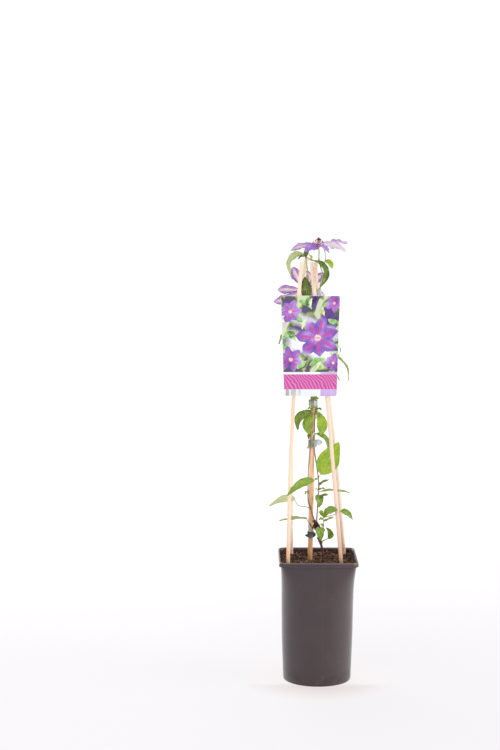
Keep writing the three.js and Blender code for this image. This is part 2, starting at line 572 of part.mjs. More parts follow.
// A bloom: sepals joined on a small receptacle, and the tuft of stamens that stands on it.
// tuftSeat is how far above the bloom's middle the tuft rests.
function makeBloom(name, centre, facing, sepals, tuftSeat) {
  const axis = vector(facing).normalize();
  const turn = new THREE.Quaternion().setFromUnitVectors(new THREE.Vector3(0, 0, 1), axis);
  const receptacle = new THREE.CylinderGeometry(3.4, 1.6, 4, 10);
  receptacle.rotateX(Math.PI / 2);
  receptacle.applyQuaternion(turn);
  receptacle.translate(...centre);
  const blades = sepals.map((sepal) =>
    blade({ ...sepal, base: centre, fold: 16, wave: 1.3, rows: 7, columns: 4 }));
  addNode(`${name}_sepals`, fromSolid(join([receptacle, ...blades])), sepalMaterial);
  const boss = new THREE.CylinderGeometry(1.2, 2.2, 4, 8);
  boss.rotateX(Math.PI / 2);
  boss.translate(0, 0, tuftSeat + 2);
  const tuft = [boss];
  const filaments = 12;
  for (let i = 0; i < filaments; i += 1) {
    const angle = i / filaments * 2 * Math.PI;
    const spread = i % 2 ? 6.4 : 3.6;
    const reach = i % 2 ? 10.5 : 13;
    const out = (radius, height) => [radius * Math.cos(angle), radius * Math.sin(angle), tuftSeat + height];
    tuft.push(pipe([out(0.6, 2.3), out(spread * 0.4, reach * 0.6 - 1.2), out(spread, reach - 1.2)], 0.65, 4, 5));
  }
  const stamens = fromSolid(join(tuft));
  stamens.applyQuaternion(turn);
  stamens.translate(...centre);
  addNode(`${name}_stamens`, stamens, stamenMaterial);
}

const topBloomCentre = [-2, 0, 744];
const topSepals = [
  { bend: [-28, -4, 748], tip: [-50, -10, 737], facing: [-0.1, 0.8, 0.55], width: 13.5, widest: 0.55 },
  { bend: [-14, -14, 744], tip: [-28, -27, 736.5], facing: [0.1, -0.75, 0.65], width: 17, widest: 0.42 },
  { bend: [4, -16, 746], tip: [13, -32, 734], facing: [0, -0.2, 0.98], width: 11, widest: 0.5 },
  { bend: [22, -8, 751], tip: [42, -15, 736], facing: [0.1, 0.75, 0.65], width: 17, widest: 0.5 },
  { bend: [24, 8, 752], tip: [48, 13, 748.5], facing: [0, 0.4, 0.9], width: 17, widest: 0.52 },
  { bend: [10, 20, 751], tip: [19, 38, 743], facing: [0.1, 0.1, 1], width: 17, widest: 0.48 },
  { bend: [-8, 22, 749], tip: [-12, 42, 738], facing: [0, 0.1, 1], width: 17, widest: 0.48 },
  { bend: [-22, 16, 750], tip: [-40, 27, 738], facing: [-0.1, 0.2, 1], width: 17, widest: 0.48 },
];
const sideBloomCentre = [-24, 25, 669];
const sideSepals = [
  { bend: [-39, 21, 691.4], tip: [-43, 24, 708], facing: [-0.2, 0.9, 0.2], width: 18, widest: 0.7 },
  { bend: [-54.5, 21, 670.5], tip: [-68.5, 25, 669], facing: [-0.2, 0.9, 0.2], width: 16, widest: 0.62 },
  { bend: [-56.6, 21, 650], tip: [-76, 25, 649], facing: [-0.2, 0.9, 0.2], width: 17, widest: 0.58 },
  { bend: [-42, 22, 645], tip: [-46, 28, 624], facing: [-0.1, 0.95, 0], width: 18, widest: 0.48 },
  { bend: [-14, 23, 648], tip: [-8, 30, 627], facing: [0.1, 0.95, 0], width: 18, widest: 0.48 },
  { bend: [-4, 24, 664], tip: [12, 30, 659], facing: [0.2, 0.9, 0.1], width: 17, widest: 0.5 },
  { bend: [-5, 23, 686], tip: [10, 30, 698], facing: [0.1, 0.9, 0.2], width: 17, widest: 0.58 },
  { bend: [-8, 22, 690], tip: [-19.9, 30, 701.4], facing: [0, 0.9, 0.3], width: 13, widest: 0.5 },
];

const potInside = makePot();
const stems = [
  makeVine('vine_right', rightStem, rightShoots, rightLeaves),
  makeVine('vine_left', leftStem, leftShoots, leftLeaves, [pipe(knot, 1.9, 6, 6)]),
];
for (const [name, path] of Object.entries(stickPaths)) {
  addNode(name, stickGeometry(path), stickMaterial);
  stems.push(toSolid(stickGeometry(path, 2 * fitGap)));
}
addNode('cane', caneGeometry(), caneMaterial);
stems.push(toSolid(caneGeometry(3 * fitGap)));
makeSoil(potInside, stems);
makeTies();
makeLabel();
makeBloom('top_bloom', topBloomCentre, [0, 0, 1], topSepals, 3.2);
makeBloom('side_bloom', sideBloomCentre, [-0.25, 0.92, 0.3], sideSepals, 2.4);

export default group;
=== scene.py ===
import bpy
import bmesh
import math
import random
from mathutils import Matrix, Quaternion, Vector, noise


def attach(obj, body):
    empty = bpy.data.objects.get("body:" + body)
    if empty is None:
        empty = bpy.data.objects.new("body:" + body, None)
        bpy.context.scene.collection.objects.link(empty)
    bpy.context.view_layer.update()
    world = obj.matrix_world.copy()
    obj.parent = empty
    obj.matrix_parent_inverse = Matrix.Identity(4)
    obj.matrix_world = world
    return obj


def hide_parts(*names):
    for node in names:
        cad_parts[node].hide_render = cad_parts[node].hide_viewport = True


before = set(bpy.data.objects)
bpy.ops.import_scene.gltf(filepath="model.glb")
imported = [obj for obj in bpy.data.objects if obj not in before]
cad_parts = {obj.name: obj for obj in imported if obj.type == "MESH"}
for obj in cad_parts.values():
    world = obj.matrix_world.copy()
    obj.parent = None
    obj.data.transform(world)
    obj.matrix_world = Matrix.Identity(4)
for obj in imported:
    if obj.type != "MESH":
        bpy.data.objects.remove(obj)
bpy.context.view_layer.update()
mm = 0.001
plantTurn = 0.047  # the sticks and all they carry stand slightly turned in the pot
swellReach = 2.2  # millimetres over which a knuckle of the stem rises and falls away
jointReach = 1.7  # the same for a joint of the cane
bpy.context.scene.view_settings.view_transform = "Standard"
bpy.context.scene.view_settings.look = "None"
print("frame loaded")


def calm():  # object mode with nothing selected
    if bpy.context.object and bpy.context.object.mode != "OBJECT":
        bpy.ops.object.mode_set(mode="OBJECT")
    bpy.ops.object.select_all(action="DESELECT")


def pick(*pieces):
    calm()
    for piece in pieces:
        piece.select_set(True)
    bpy.context.view_layer.objects.active = pieces[0]


def fresh(name):  # the primitive that was just added
    piece = bpy.context.object
    piece.name = name
    piece.data.name = name
    return piece


def useModifier(piece, kind, **settings):
    pick(piece)
    bpy.ops.object.modifier_add(type=kind)
    modifier = piece.modifiers[-1]
    for key, value in settings.items():
        setattr(modifier, key, value)
    bpy.ops.object.modifier_apply(modifier=modifier.name)


def copyOf(model, name):
    copy = model.copy()
    copy.data = model.data.copy()
    copy.name = copy.data.name = name
    bpy.context.scene.collection.objects.link(copy)
    return copy


def joinAll(pieces, name):
    pick(*pieces)
    if len(pieces) > 1:
        bpy.ops.object.join()
    return fresh(name)


def smooth(piece, degrees=35):
    pick(piece)
    bpy.ops.object.shade_smooth_by_angle(angle=math.radians(degrees))


def handOver(piece, nodeNames, slotName, finishes):  # seats a finished piece in the frame
    pick(piece)
    bpy.ops.object.transform_apply(location=True, rotation=True, scale=True)
    if slotName not in ("pot", "soil"):
        piece.rotation_euler.z = plantTurn
        bpy.ops.object.transform_apply(location=False, rotation=True, scale=False)
    piece.data.materials.clear()
    for finish in finishes:
        piece.data.materials.append(finish)
    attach(piece, "root")
    if nodeNames:
        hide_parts(*nodeNames)


def smoothPath(points, perSpan=8):  # an even curve through points given in millimetres
    marks = [Vector(point) * mm for point in points]
    run = [2 * marks[0] - marks[1], *marks, 2 * marks[-1] - marks[-2]]
    path = []
    for a, b, c, d in zip(run, run[1:], run[2:], run[3:]):
        g1, g2, g3 = (max((q - p).length, 1e-7) ** 0.5 for p, q in ((a, b), (b, c), (c, d)))
        leave = ((b - a) / g1 - (c - a) / (g1 + g2) + (c - b) / g2) * g2
        arrive = ((c - b) / g2 - (d - b) / (g2 + g3) + (d - c) / g3) * g2
        for i in range(perSpan):
            s = i / perSpan
            path.append((2 * s**3 - 3 * s**2 + 1) * b + (s**3 - 2 * s**2 + s) * leave
                        + (3 * s**2 - 2 * s**3) * c + (s**3 - s**2) * arrive)
    path.append(marks[-1])
    return path


def growTube(name, points, radius, taper=1.0, swell=(), resolution=2, perSpan=8, profile=None):
    path = smoothPath(points, perSpan)
    line = bpy.data.curves.new(name, "CURVE")
    line.dimensions = "3D"
    line.bevel_depth = radius * mm
    line.bevel_resolution = resolution
    line.use_fill_caps = True
    knots = line.splines.new("POLY").points
    knots.add(len(path) - 1)
    for i, (knot, place) in enumerate(zip(knots, path)):
        knot.co = (*place, 1)
        share = i / (len(path) - 1)
        bulge = sum(size * math.exp(-((place.z / mm - height) / swellReach) ** 2) for height, size in swell)
        knot.radius = profile(share) if profile else 1 + (taper - 1) * share + bulge
    tube = bpy.data.objects.new(name, line)
    bpy.context.scene.collection.objects.link(tube)
    pick(tube)
    bpy.ops.object.convert(target="MESH")
    tube = fresh(name)
    bpy.ops.object.shade_smooth()
    return tube


def newPaint(name, roughness=0.5, **sockets):
    paint = bpy.data.materials.new(name)
    paint.use_nodes = True
    shader = paint.node_tree.nodes["Principled BSDF"]
    shader.inputs["Roughness"].default_value = roughness
    for key, value in sockets.items():
        shader.inputs[key.replace("_", " ")].default_value = value
    return paint, shader


def addNode(paint, kind, inputs=None, **settings):
    node = paint.node_tree.nodes.new(kind)
    for key, value in settings.items():
        setattr(node, key, value)
    for key, value in (inputs or {}).items():
        if isinstance(value, bpy.types.NodeSocket):
            paint.node_tree.links.new(value, node.inputs[key])
        else:
            node.inputs[key].default_value = value
    return node


def maths(paint, operation, a, b=0.0):
    return addNode(paint, "ShaderNodeMath", {0: a, 1: b}, operation=operation).outputs[0]


def times(paint, a, b):
    return maths(paint, "MULTIPLY", a, b)


def plus(paint, a, b):
    return maths(paint, "ADD", a, b)


def minus(paint, a, b):
    return maths(paint, "SUBTRACT", a, b)


def weighed(paint, a, shareA, b, shareB):
    return plus(paint, times(paint, a, shareA), times(paint, b, shareB))


def absolute(paint, value):
    return maths(paint, "ABSOLUTE", value)


def unevenBy(paint, value, pattern, amount):  # adds a pattern of 0 to 1 about its middle
    return plus(paint, value, times(paint, minus(paint, pattern, 0.5), amount))


def shaderColour(colour):  # a screen colour of three shares of 255 becomes the shader's, and others stay
    if not isinstance(colour, tuple) or len(colour) != 3:
        return colour
    return (*(v / 255 / 12.92 if v <= 10 else ((v / 255 + 0.055) / 1.055) ** 2.4 for v in colour), 1.0)


def ramp(paint, factor, stops, smoothStops=False):
    node = addNode(paint, "ShaderNodeValToRGB", {"Fac": factor})
    node.color_ramp.interpolation = "EASE" if smoothStops else "LINEAR"
    elements = node.color_ramp.elements
    for element, (place, colour) in zip(elements, (stops[0], stops[-1])):
        element.position, element.color = place, shaderColour(colour)
    for place, colour in stops[1:-1]:
        elements.new(place).color = shaderColour(colour)
    return node.outputs["Color"]


def level(paint, value, low, high, toLow=0.0, toHigh=1.0):
    node = addNode(paint, "ShaderNodeMapRange", {
        "Value": value, "From Min": low, "From Max": high, "To Min": toLow, "To Max": toHigh},
        interpolation_type="SMOOTHSTEP")
    return node.outputs["Result"]


def blend(paint, factor, first, second):
    inputs = {0: factor, 6: shaderColour(first), 7: shaderColour(second)}
    return addNode(paint, "ShaderNodeMix", inputs, data_type="RGBA").outputs[2]


def cloud(paint, where, scale, detail=4.0, stretch=(1, 1, 1), distortion=0.0):
    moved = addNode(paint, "ShaderNodeMapping", {"Vector": where, "Scale": stretch}).outputs[0]
    return addNode(paint, "ShaderNodeTexNoise", {
        "Vector": moved, "Scale": scale, "Detail": detail, "Distortion": distortion}).outputs["Fac"]


def coordinates(paint):
    return addNode(paint, "ShaderNodeTexCoord").outputs["Object"]


def alongAxes(paint, where):  # its x, y and z
    return addNode(paint, "ShaderNodeSeparateXYZ", {0: where}).outputs


def finishPaint(paint, shader, colour, bumpFrom=None, strength=0.3, distance=0.0005, roughness=None):
    links = paint.node_tree.links
    links.new(colour, shader.inputs["Base Color"])
    if roughness is not None:
        links.new(roughness, shader.inputs["Roughness"])
    if bumpFrom is not None:
        bump = addNode(paint, "ShaderNodeBump", {
            "Height": bumpFrom, "Strength": strength, "Distance": distance})
        links.new(bump.outputs[0], shader.inputs["Normal"])
    return paint


def splitUv(paint):
    uv = addNode(paint, "ShaderNodeUVMap", uv_map="UVMap").outputs[0]
    axes = alongAxes(paint, uv)
    return uv, axes[0], axes[1]


def fromMidrib(paint, u):  # 0 along a blade's middle and 1 at both its edges
    return absolute(paint, times(paint, minus(paint, u, 0.5), 2.0))


def potPaint():
    paint, shader = newPaint("mouldedPlastic", 0.5, Specular_IOR_Level=0.36, Coat_Weight=0.6,
                             Coat_Roughness=0.08)
    here = coordinates(paint)
    axes = alongAxes(paint, here)
    height = axes[2]
    mottle = cloud(paint, here, 22, 5)
    streaksAndSheen = cloud(paint, here, 30, 3, (1, 1, 0.05))
    fine = cloud(paint, here, 900, 2)
    base = ramp(paint, mottle, [(0.3, (53, 39, 42)), (0.55, (56, 42, 45)), (0.8, (64, 49, 52))])
    # lighter vertical streaks that also roughen the surface: partly real marks, partly a painted sheen
    base = blend(paint, level(paint, streaksAndSheen, 0.52, 0.75, 0, 0.3), base, (74, 60, 62))
    # painted highlight: the pot's right side is made lighter
    base = blend(paint, level(paint, axes[0], 0.005, 0.05, 0, 0.5), base, (76, 61, 62))
    dust = level(paint, cloud(paint, here, 60, 8), 0.58, 0.72)
    low = level(paint, height, 0.0, 0.06, 1, 0)
    dust = times(paint, dust, plus(paint, times(paint, low, 0.3), 0.05))
    base = blend(paint, dust, base, (112, 88, 76))
    mud = level(paint, cloud(paint, here, 34, 6, (1, 1, 1.6)), 0.5, 0.58)
    mud = times(paint, mud, level(paint, height, 0.012, 0.03, 1, 0))
    base = blend(paint, times(paint, mud, 0.6), base, (48, 38, 36))
    # painted shadow: a dark line round the body just under the lip
    underLipShadow = times(paint, level(paint, height, 0.206, 0.2068),
                    level(paint, height, 0.2078, 0.2083, 0.55, 0))
    base = blend(paint, underLipShadow, base, (46, 38, 40))
    # painted highlight: a thin lighter line along the rim's top edge
    base = blend(paint, level(paint, height, 0.2134, 0.2152, 0, 0.6), base, (114, 104, 108))
    rough = level(paint, plus(paint, mottle, times(paint, mud, 0.3)), 0.3, 1.0, 0.4, 0.6)
    relief = weighed(paint, fine, 0.35, streaksAndSheen, 0.3)
    return finishPaint(paint, shader, base, relief, 0.12, 0.0004, rough)


def soilPaint(name, dark, middle, light, scale):
    paint, shader = newPaint(name, 0.92, Specular_IOR_Level=0.2)
    here = coordinates(paint)
    grain = cloud(paint, here, scale, 9, distortion=0.4)
    clods = cloud(paint, here, scale * 0.4, 4)
    mixed = weighed(paint, grain, 0.6, clods, 0.4)
    colour = ramp(paint, mixed, [(0.4, dark), (0.5, middle), (0.58, middle), (0.68, light)])
    flecks = level(paint, cloud(paint, here, scale * 3.1, 3), 0.62, 0.72)
    colour = blend(paint, times(paint, flecks, 0.6), colour, light)
    return finishPaint(paint, shader, colour, mixed, 1.0, 0.003)


def chipPaint(name, dark, light):
    paint, shader = newPaint(name, 0.85, Specular_IOR_Level=0.25)
    here = coordinates(paint)
    grain = cloud(paint, here, 300, 5, (1, 1, 3))
    patches = cloud(paint, here, 150, 1)
    mixed = weighed(paint, grain, 0.4, patches, 0.6)
    return finishPaint(paint, shader, ramp(paint, mixed, [(0.4, dark), (0.66, light)]), grain, 0.6, 0.0006)


# warm: the height where the warm tinge ends, its strength at the soil, its colour
# stain: the strength of the damp stain at the soil, its colour
def bambooPaint(name, pale, middle, deep, fibres, warm, stain):
    paint, shader = newPaint(name, 0.5, Specular_IOR_Level=0.4)
    here = coordinates(paint)
    uv = splitUv(paint)[0]
    height = alongAxes(paint, here)[2]
    fine = cloud(paint, uv, fibres, 4, (1, 0.035, 1))
    broad = cloud(paint, here, 34, 4, (1, 1, 0.12))
    tone = weighed(paint, fine, 0.6, broad, 0.45)
    colour = ramp(paint, tone, [(0.34, deep), (0.49, middle), (0.64, pale)], True)
    specks = level(paint, cloud(paint, here, 240, 4, (1, 1, 0.3)), 0.66, 0.74, 0, 0.45)
    colour = blend(paint, specks, colour, deep)
    uneven = unevenBy(paint, height, broad, 0.06)
    colour = blend(paint, level(paint, uneven, 0.212, warm[0], warm[1], 0), colour, warm[2])
    colour = blend(paint, level(paint, uneven, 0.215, 0.265, stain[0] * 0.6, 0), colour, (222, 150, 98))
    colour = blend(paint, level(paint, uneven, 0.207, 0.226, stain[0], 0), colour, stain[1])
    return finishPaint(paint, shader, colour, fine, 0.3, 0.0003)


def leafPaint(name, upper):
    paint, shader = newPaint(name, 0.45 if upper else 0.6, Specular_IOR_Level=0.36, Subsurface_Weight=0.08,
                             Subsurface_Scale=0.002)
    here = coordinates(paint)
    uv, u, v = splitUv(paint)
    tint = addNode(paint, "ShaderNodeAttribute", attribute_name="tint").outputs["Fac"]
    aside = fromMidrib(paint, u)
    mottle = cloud(paint, here, 260, 4)
    broad = cloud(paint, here, 70, 2)
    tone = unevenBy(paint, tint, mottle, 0.7)
    tone = unevenBy(paint, tone, broad, 0.5)
    if upper:
        stops = [(0.0, (48, 68, 18)), (0.25, (78, 104, 28)), (0.5, (112, 146, 40)),
                 (0.75, (146, 178, 34)), (1.0, (188, 200, 40))]
    else:
        stops = [(0.0, (112, 128, 74)), (0.3, (144, 160, 98)), (0.6, (176, 190, 134)),
                 (1.0, (208, 216, 172))]
    colour = ramp(paint, tone, stops)
    # midrib, two long side ribs and the slanting veins between them
    midrib = level(paint, aside, 0.02, 0.07, 1, 0)
    bow = maths(paint, "SINE", times(paint, v, math.pi))
    sideRib = absolute(paint, minus(paint, aside, times(paint, bow, 0.42)))
    sideRib = times(paint, level(paint, sideRib, 0.012, 0.05, 1, 0), level(paint, v, 0.75, 0.95, 0.7, 0))
    slant = maths(paint, "FRACT", minus(paint, times(paint, v, 8.0), times(paint, aside, 2.6)))
    slant = absolute(paint, minus(paint, slant, 0.5))
    slant = level(paint, slant, 0.02, 0.1, 0.55, 0)
    veins = maths(paint, "MAXIMUM", maths(paint, "MAXIMUM", midrib, sideRib), slant)
    cells = addNode(paint, "ShaderNodeTexVoronoi", {"Vector": uv, "Scale": 26.0},
                    feature="DISTANCE_TO_EDGE")
    net = level(paint, cells.outputs["Distance"], 0.0, 0.09, 1, 0)
    pale = (184, 202, 108) if upper else (214, 222, 164)
    colour = blend(paint, times(paint, veins, 0.45), colour, pale)
    colour = blend(paint, times(paint, net, 0.16), colour, pale)
    bloomAndSheen = level(paint, cloud(paint, here, 120, 3), 0.54, 0.7, 0, 0.28 if upper else 0.2)
    colour = blend(paint, bloomAndSheen, colour, (186, 198, 138))  # pale greyish patches: partly the leaf's waxy bloom, partly a painted sheen
    relief = weighed(paint, veins, 0.7, net, 0.3)
    return finishPaint(paint, shader, colour, relief, -0.5 if upper else 0.6, 0.0005)


def stemPaint(name, low, fade):  # low: its colours near the soil, fade: how far the bark has paled
    paint, shader = newPaint(name, 0.55, Specular_IOR_Level=0.4)
    here = coordinates(paint)
    height = alongAxes(paint, here)[2]
    ribs = cloud(paint, here, 420, 3, (1, 1, 0.06))
    patches = cloud(paint, here, 70, 3, (1, 1, 0.4))
    climb = unevenBy(paint, height, patches, 0.06)
    colour = ramp(paint, level(paint, climb, 0.2, 0.76), [
        (0.0, (96, 60, 50)), (0.08, low[0]), (0.16, low[1]), (0.22, low[2]), (0.3, (150, 96, 90)),
        (0.42, (178, 118, 96)), (0.6, (154, 100, 78)), (0.86, (152, 112, 76)), (0.95, (160, 164, 82)),
        (1.0, (176, 190, 100))])
    pale = times(paint, level(paint, height, 0.3, 0.34), level(paint, height, 0.48, 0.56, fade, 0))
    colour = blend(paint, pale, colour, (214, 178, 166))
    colour = blend(paint, level(paint, ribs, 0.48, 0.66, 0, 0.4), colour, (96, 58, 52))
    return finishPaint(paint, shader, colour, ribs, 0.5, 0.0003)


def petiolePaint():
    paint, shader = newPaint("leafStalk", 0.5, Specular_IOR_Level=0.4)
    here = coordinates(paint)
    tone = cloud(paint, here, 90, 3)
    colour = ramp(paint, tone, [(0.35, (130, 92, 70)), (0.5, (138, 140, 66)), (0.65, (160, 178, 84))])
    height = alongAxes(paint, here)[2]
    colour = blend(paint, level(paint, height, 0.272, 0.295, 0.9, 0), colour, (112, 74, 58))
    return finishPaint(paint, shader, colour, cloud(paint, here, 500, 2, (1, 1, 0.1)), 0.3, 0.0002)


def woodPaint():
    paint, shader = newPaint("deadWood", 0.85, Specular_IOR_Level=0.25)
    grain = cloud(paint, coordinates(paint), 320, 6, (1, 1, 0.25))
    colour = ramp(paint, grain, [(0.35, (34, 26, 22)), (0.55, (66, 46, 36)), (0.75, (110, 84, 66))])
    return finishPaint(paint, shader, colour, grain, 0.9, 0.0008)


def sepalPaint(name, upper):
    paint, shader = newPaint(name, 0.5, Specular_IOR_Level=0.35, Sheen_Weight=0.15, Sheen_Roughness=0.4,
                             Subsurface_Weight=0.15, Subsurface_Scale=0.002)
    here = coordinates(paint)
    uv, u, v = splitUv(paint)
    depth = addNode(paint, "ShaderNodeAttribute", attribute_name="tint").outputs["Fac"]
    aside = fromMidrib(paint, u)
    fibres = cloud(paint, uv, 46, 3, (1, 0.05, 1))
    broad = cloud(paint, here, 95, 3)
    edge = unevenBy(paint, aside, fibres, 0.5)
    bar = level(paint, edge, 0.16, 0.5, 1, 0)
    bar = times(paint, bar, level(paint, v, 0.7, 1.0, 1, 0.35))
    rim = level(paint, edge, 0.64, 1.0)
    tone = weighed(paint, fibres, 0.55, broad, 0.5)
    tone = unevenBy(paint, tone, depth, 1.0)
    if upper:
        colour = ramp(paint, tone, [(0.1, (234, 224, 250)), (0.5, (178, 142, 216)), (0.9, (112, 58, 152))])
        colour = blend(paint, times(paint, bar, 0.35), colour, (160, 72, 150))
        colour = blend(paint, times(paint, rim, 0.4), colour, (126, 72, 166))
    else:
        colour = ramp(paint, tone, [(0.1, (242, 234, 252)), (0.5, (204, 180, 226)), (0.9, (150, 104, 180))])
        colour = blend(paint, times(paint, bar, 0.75), colour, (238, 230, 222))
        colour = blend(paint, times(paint, rim, 0.7), colour, (140, 72, 156))
    nerves = level(paint, fibres, 0.6, 0.7)
    colour = blend(paint, times(paint, nerves, 0.3), colour, (120, 66, 144))
    heart = level(paint, v, 0.0, 0.18, 0.6, 0)
    colour = blend(paint, heart, colour, (134, 60, 140) if upper else (196, 186, 160))
    return finishPaint(paint, shader, colour, fibres, 0.45, 0.0004)


def plainPaint(name, dark, light, roughness, scale=200):
    paint, shader = newPaint(name, roughness)
    tone = cloud(paint, coordinates(paint), scale, 3)
    return finishPaint(paint, shader, ramp(paint, tone, [(0.35, dark), (0.65, light)]), tone, 0.2, 0.0003)


def tapePaint(name, dark, middle, light):
    paint, shader = newPaint(name, 0.32, Specular_IOR_Level=0.5, Transmission_Weight=0.2, IOR=1.4)
    crinkle = cloud(paint, coordinates(paint), 190, 3, (1, 1, 0.35))
    colour = ramp(paint, crinkle, [(0.34, dark), (0.5, middle), (0.66, light)])
    return finishPaint(paint, shader, colour, crinkle, 0.6, 0.0006)


paints = {
    "pot": potPaint(),
    "soil": soilPaint("compost", (7, 5, 4), (52, 34, 24), (140, 102, 76), 90),
    "bark": chipPaint("barkChip", (16, 10, 8), (148, 104, 76)),
    "fibre": chipPaint("coirFibre", (84, 58, 40), (186, 144, 104)),
    "stick": bambooPaint("splitBamboo", (250, 228, 205), (240, 205, 175), (214, 162, 129), 60,
                         (0.31, 0.4, (228, 168, 122)), (0.75, (128, 78, 48))),
    # a darker copy of the bamboo: painted shade on the front right stick, which turns away from the light
    "stickShaded": bambooPaint("splitBambooShaded", (250, 228, 212), (240, 211, 190), (210, 160, 134), 60,
                              (0.4, 0.6, (204, 158, 130)), (0.7, (128, 78, 48))),
    # a lightened copy of the bamboo: painted light on the two back sticks, which stand in shade
    "stickBackLit": bambooPaint("splitBambooBackLit", (255, 245, 230), (253, 231, 209), (239, 196, 165), 60,
                             (0.25, 0.1, (228, 168, 122)), (0.3, (128, 78, 48))),
    "cane": bambooPaint("bambooCane", (255, 229, 195), (246, 200, 152), (192, 140, 94), 40,
                        (0.4, 0.85, (198, 150, 100)), (0.6, (128, 92, 58))),
    "leafUpper": leafPaint("leafUpper", True),
    "leafUnder": leafPaint("leafUnder", False),
    "stem": stemPaint("vineBark", ((150, 104, 98), (178, 138, 146), (142, 94, 96)), 0.0),
    "stemPale": stemPaint("vineBarkPale", ((140, 92, 68), (158, 108, 78), (168, 124, 98)), 0.55),
    "petiole": petiolePaint(),
    "wood": woodPaint(),
    "redWood": plainPaint("redBark", (70, 34, 36), (142, 88, 84), 0.7, 420),
    "sepalUpper": sepalPaint("sepalUpper", True),
    "sepalUnder": sepalPaint("sepalUnder", False),
    "bud": plainPaint("budSkin", (196, 150, 170), (240, 226, 232), 0.6, 420),
    "budRusty": plainPaint("budRusty", (150, 160, 60), (206, 128, 74), 0.6, 300),
    "lime": plainPaint("limeLeaflet", (132, 168, 52), (206, 220, 130), 0.5, 300),
    "filament": plainPaint("filament", (186, 112, 130), (226, 190, 196), 0.6),
    "anther": plainPaint("anther", (84, 20, 34), (150, 60, 74), 0.6),
    "tape": tapePaint("tyingTape", (118, 124, 110), (166, 170, 154), (208, 212, 202)),
    "tapeDark": tapePaint("tyingTapeDark", (34, 40, 34), (58, 64, 58), (94, 100, 96)),
    "tapePale": tapePaint("tyingTapePale", (160, 172, 172), (200, 210, 212), (228, 234, 238)),
    "card": plainPaint("labelCard", (226, 228, 236), (234, 236, 244), 0.35, 30),
}
print("finishes mixed")


studio = {
    "cameraPlace": (-0.1165, -2.9214, 0.8351),
    "tilt": 0.134, "roll": 0.002,
    "focalPixels": 1734.757, "frameHeight": 750, "rise": 50, "sensorWidth": 36,
    "room": ((0.97, 0.98, 1.0, 1), 0.62), "backdrop": ((1, 1, 1, 1), 1.05),  # colour and strength
    # place, size and power of each lamp, which all point at the same place
    "keyLamp": ((-1.5, -2.2, 2.3), 2.8, 42), "sideLamp": ((2.3, -0.6, 1.2), 2.0, 40),
    "backLamp": ((-0.6, 2.2, 2.0), 1.8, 20), "leftLamp": ((-1.9, 2.2, 0.6), 1.4, 26),
    "lampTarget": (0, 0, 0.4),
}


def setCamera():
    calm()
    bpy.ops.object.camera_add(location=studio["cameraPlace"])
    camera = bpy.context.object
    turned = Matrix.Rotation(math.pi / 2 - studio["tilt"], 4, "X") @ Matrix.Rotation(studio["roll"], 4, "Z")
    camera.rotation_euler = turned.to_euler()
    camera.data.sensor_width = studio["sensorWidth"]
    camera.data.lens = studio["focalPixels"] / studio["frameHeight"] * studio["sensorWidth"]
    camera.data.shift_y = studio["rise"] / studio["frameHeight"]
    camera.data.clip_end = 60
    bpy.context.scene.camera = camera


def setFloor():  # a glowing floor, nearly white by the pot and pure white farther back, with painted light and a painted contact shadow near the pot
    calm()
    bpy.ops.mesh.primitive_plane_add(size=24)
    floor = fresh("studioFloor")
    paint, shader = newPaint("paleFloor", 0.8, Specular_IOR_Level=0.05)
    here = coordinates(paint)
    axes = alongAxes(paint, here)
    apart = addNode(paint, "ShaderNodeVectorMath", {0: here}, operation="LENGTH").outputs["Value"]
    back = level(paint, axes[1], -0.2, 2.6, 0.78, 1.12)
    # painted light: the floor glows slightly brighter towards the left
    left = level(paint, axes[0], 0.02, -0.3, 0, 0.02)
    # painted light: the floor glows a little brighter and pinker close to the pot
    nearPotGlow = level(paint, apart, 0.05, 0.2, 1, 0)
    links = paint.node_tree.links
    shader.inputs["Base Color"].default_value = (0.125, 0.12, 0.122, 1)
    glow = blend(paint, nearPotGlow, (0.992, 0.978, 1.0, 1), (1, 0.958, 0.962, 1))
    back = maths(paint, "MAXIMUM", back, level(paint, apart, 1.3, 3.6, 0.78, 1.12))
    strength = plus(paint, plus(paint, back, left), times(paint, nearPotGlow, 0.035))
    # painted shadow: a soft pinkish contact shadow on the floor just in front of the pot's foot
    foot = times(paint, level(paint, apart, 0.058, 0.15, 1, 0), level(paint, axes[1], -0.03, -0.06))
    strength = minus(paint, strength, times(paint, foot, 0.13))
    glow = blend(paint, times(paint, foot, 0.75), glow, (1, 0.9, 0.91, 1))
    links.new(glow, shader.inputs["Emission Color"])
    links.new(strength, shader.inputs["Emission Strength"])
    floor.data.materials.append(paint)


def setLight():
    world = bpy.data.worlds.new("softRoom")
    bpy.context.scene.world = world
    world.use_nodes = True
    tree = world.node_tree
    tree.nodes.clear()
    path = tree.nodes.new("ShaderNodeLightPath")
    either = tree.nodes.new("ShaderNodeMixShader")
    out = tree.nodes.new("ShaderNodeOutputWorld")
    tree.links.new(path.outputs["Is Camera Ray"], either.inputs[0])
    for i, key in enumerate(("room", "backdrop")):  # the second is what the camera sees
        light = tree.nodes.new("ShaderNodeBackground")
        light.inputs[0].default_value, light.inputs[1].default_value = studio[key]
        tree.links.new(light.outputs[0], either.inputs[i + 1])
    tree.links.new(either.outputs[0], out.inputs[0])
    for name in ("keyLamp", "sideLamp", "backLamp", "leftLamp"):
        place, size, power = studio[name]
        calm()
        bpy.ops.object.light_add(type="AREA", location=place)
        lamp = bpy.context.object
        lamp.name = name
        lamp.data.shape = "DISK"
        lamp.data.size = size
        lamp.data.energy = power
        towards = Vector(studio["lampTarget"]) - Vector(place)
        lamp.rotation_euler = towards.to_track_quat("-Z", "Y").to_euler()


setCamera()
setFloor()
setLight()
print("camera, floor and light set")


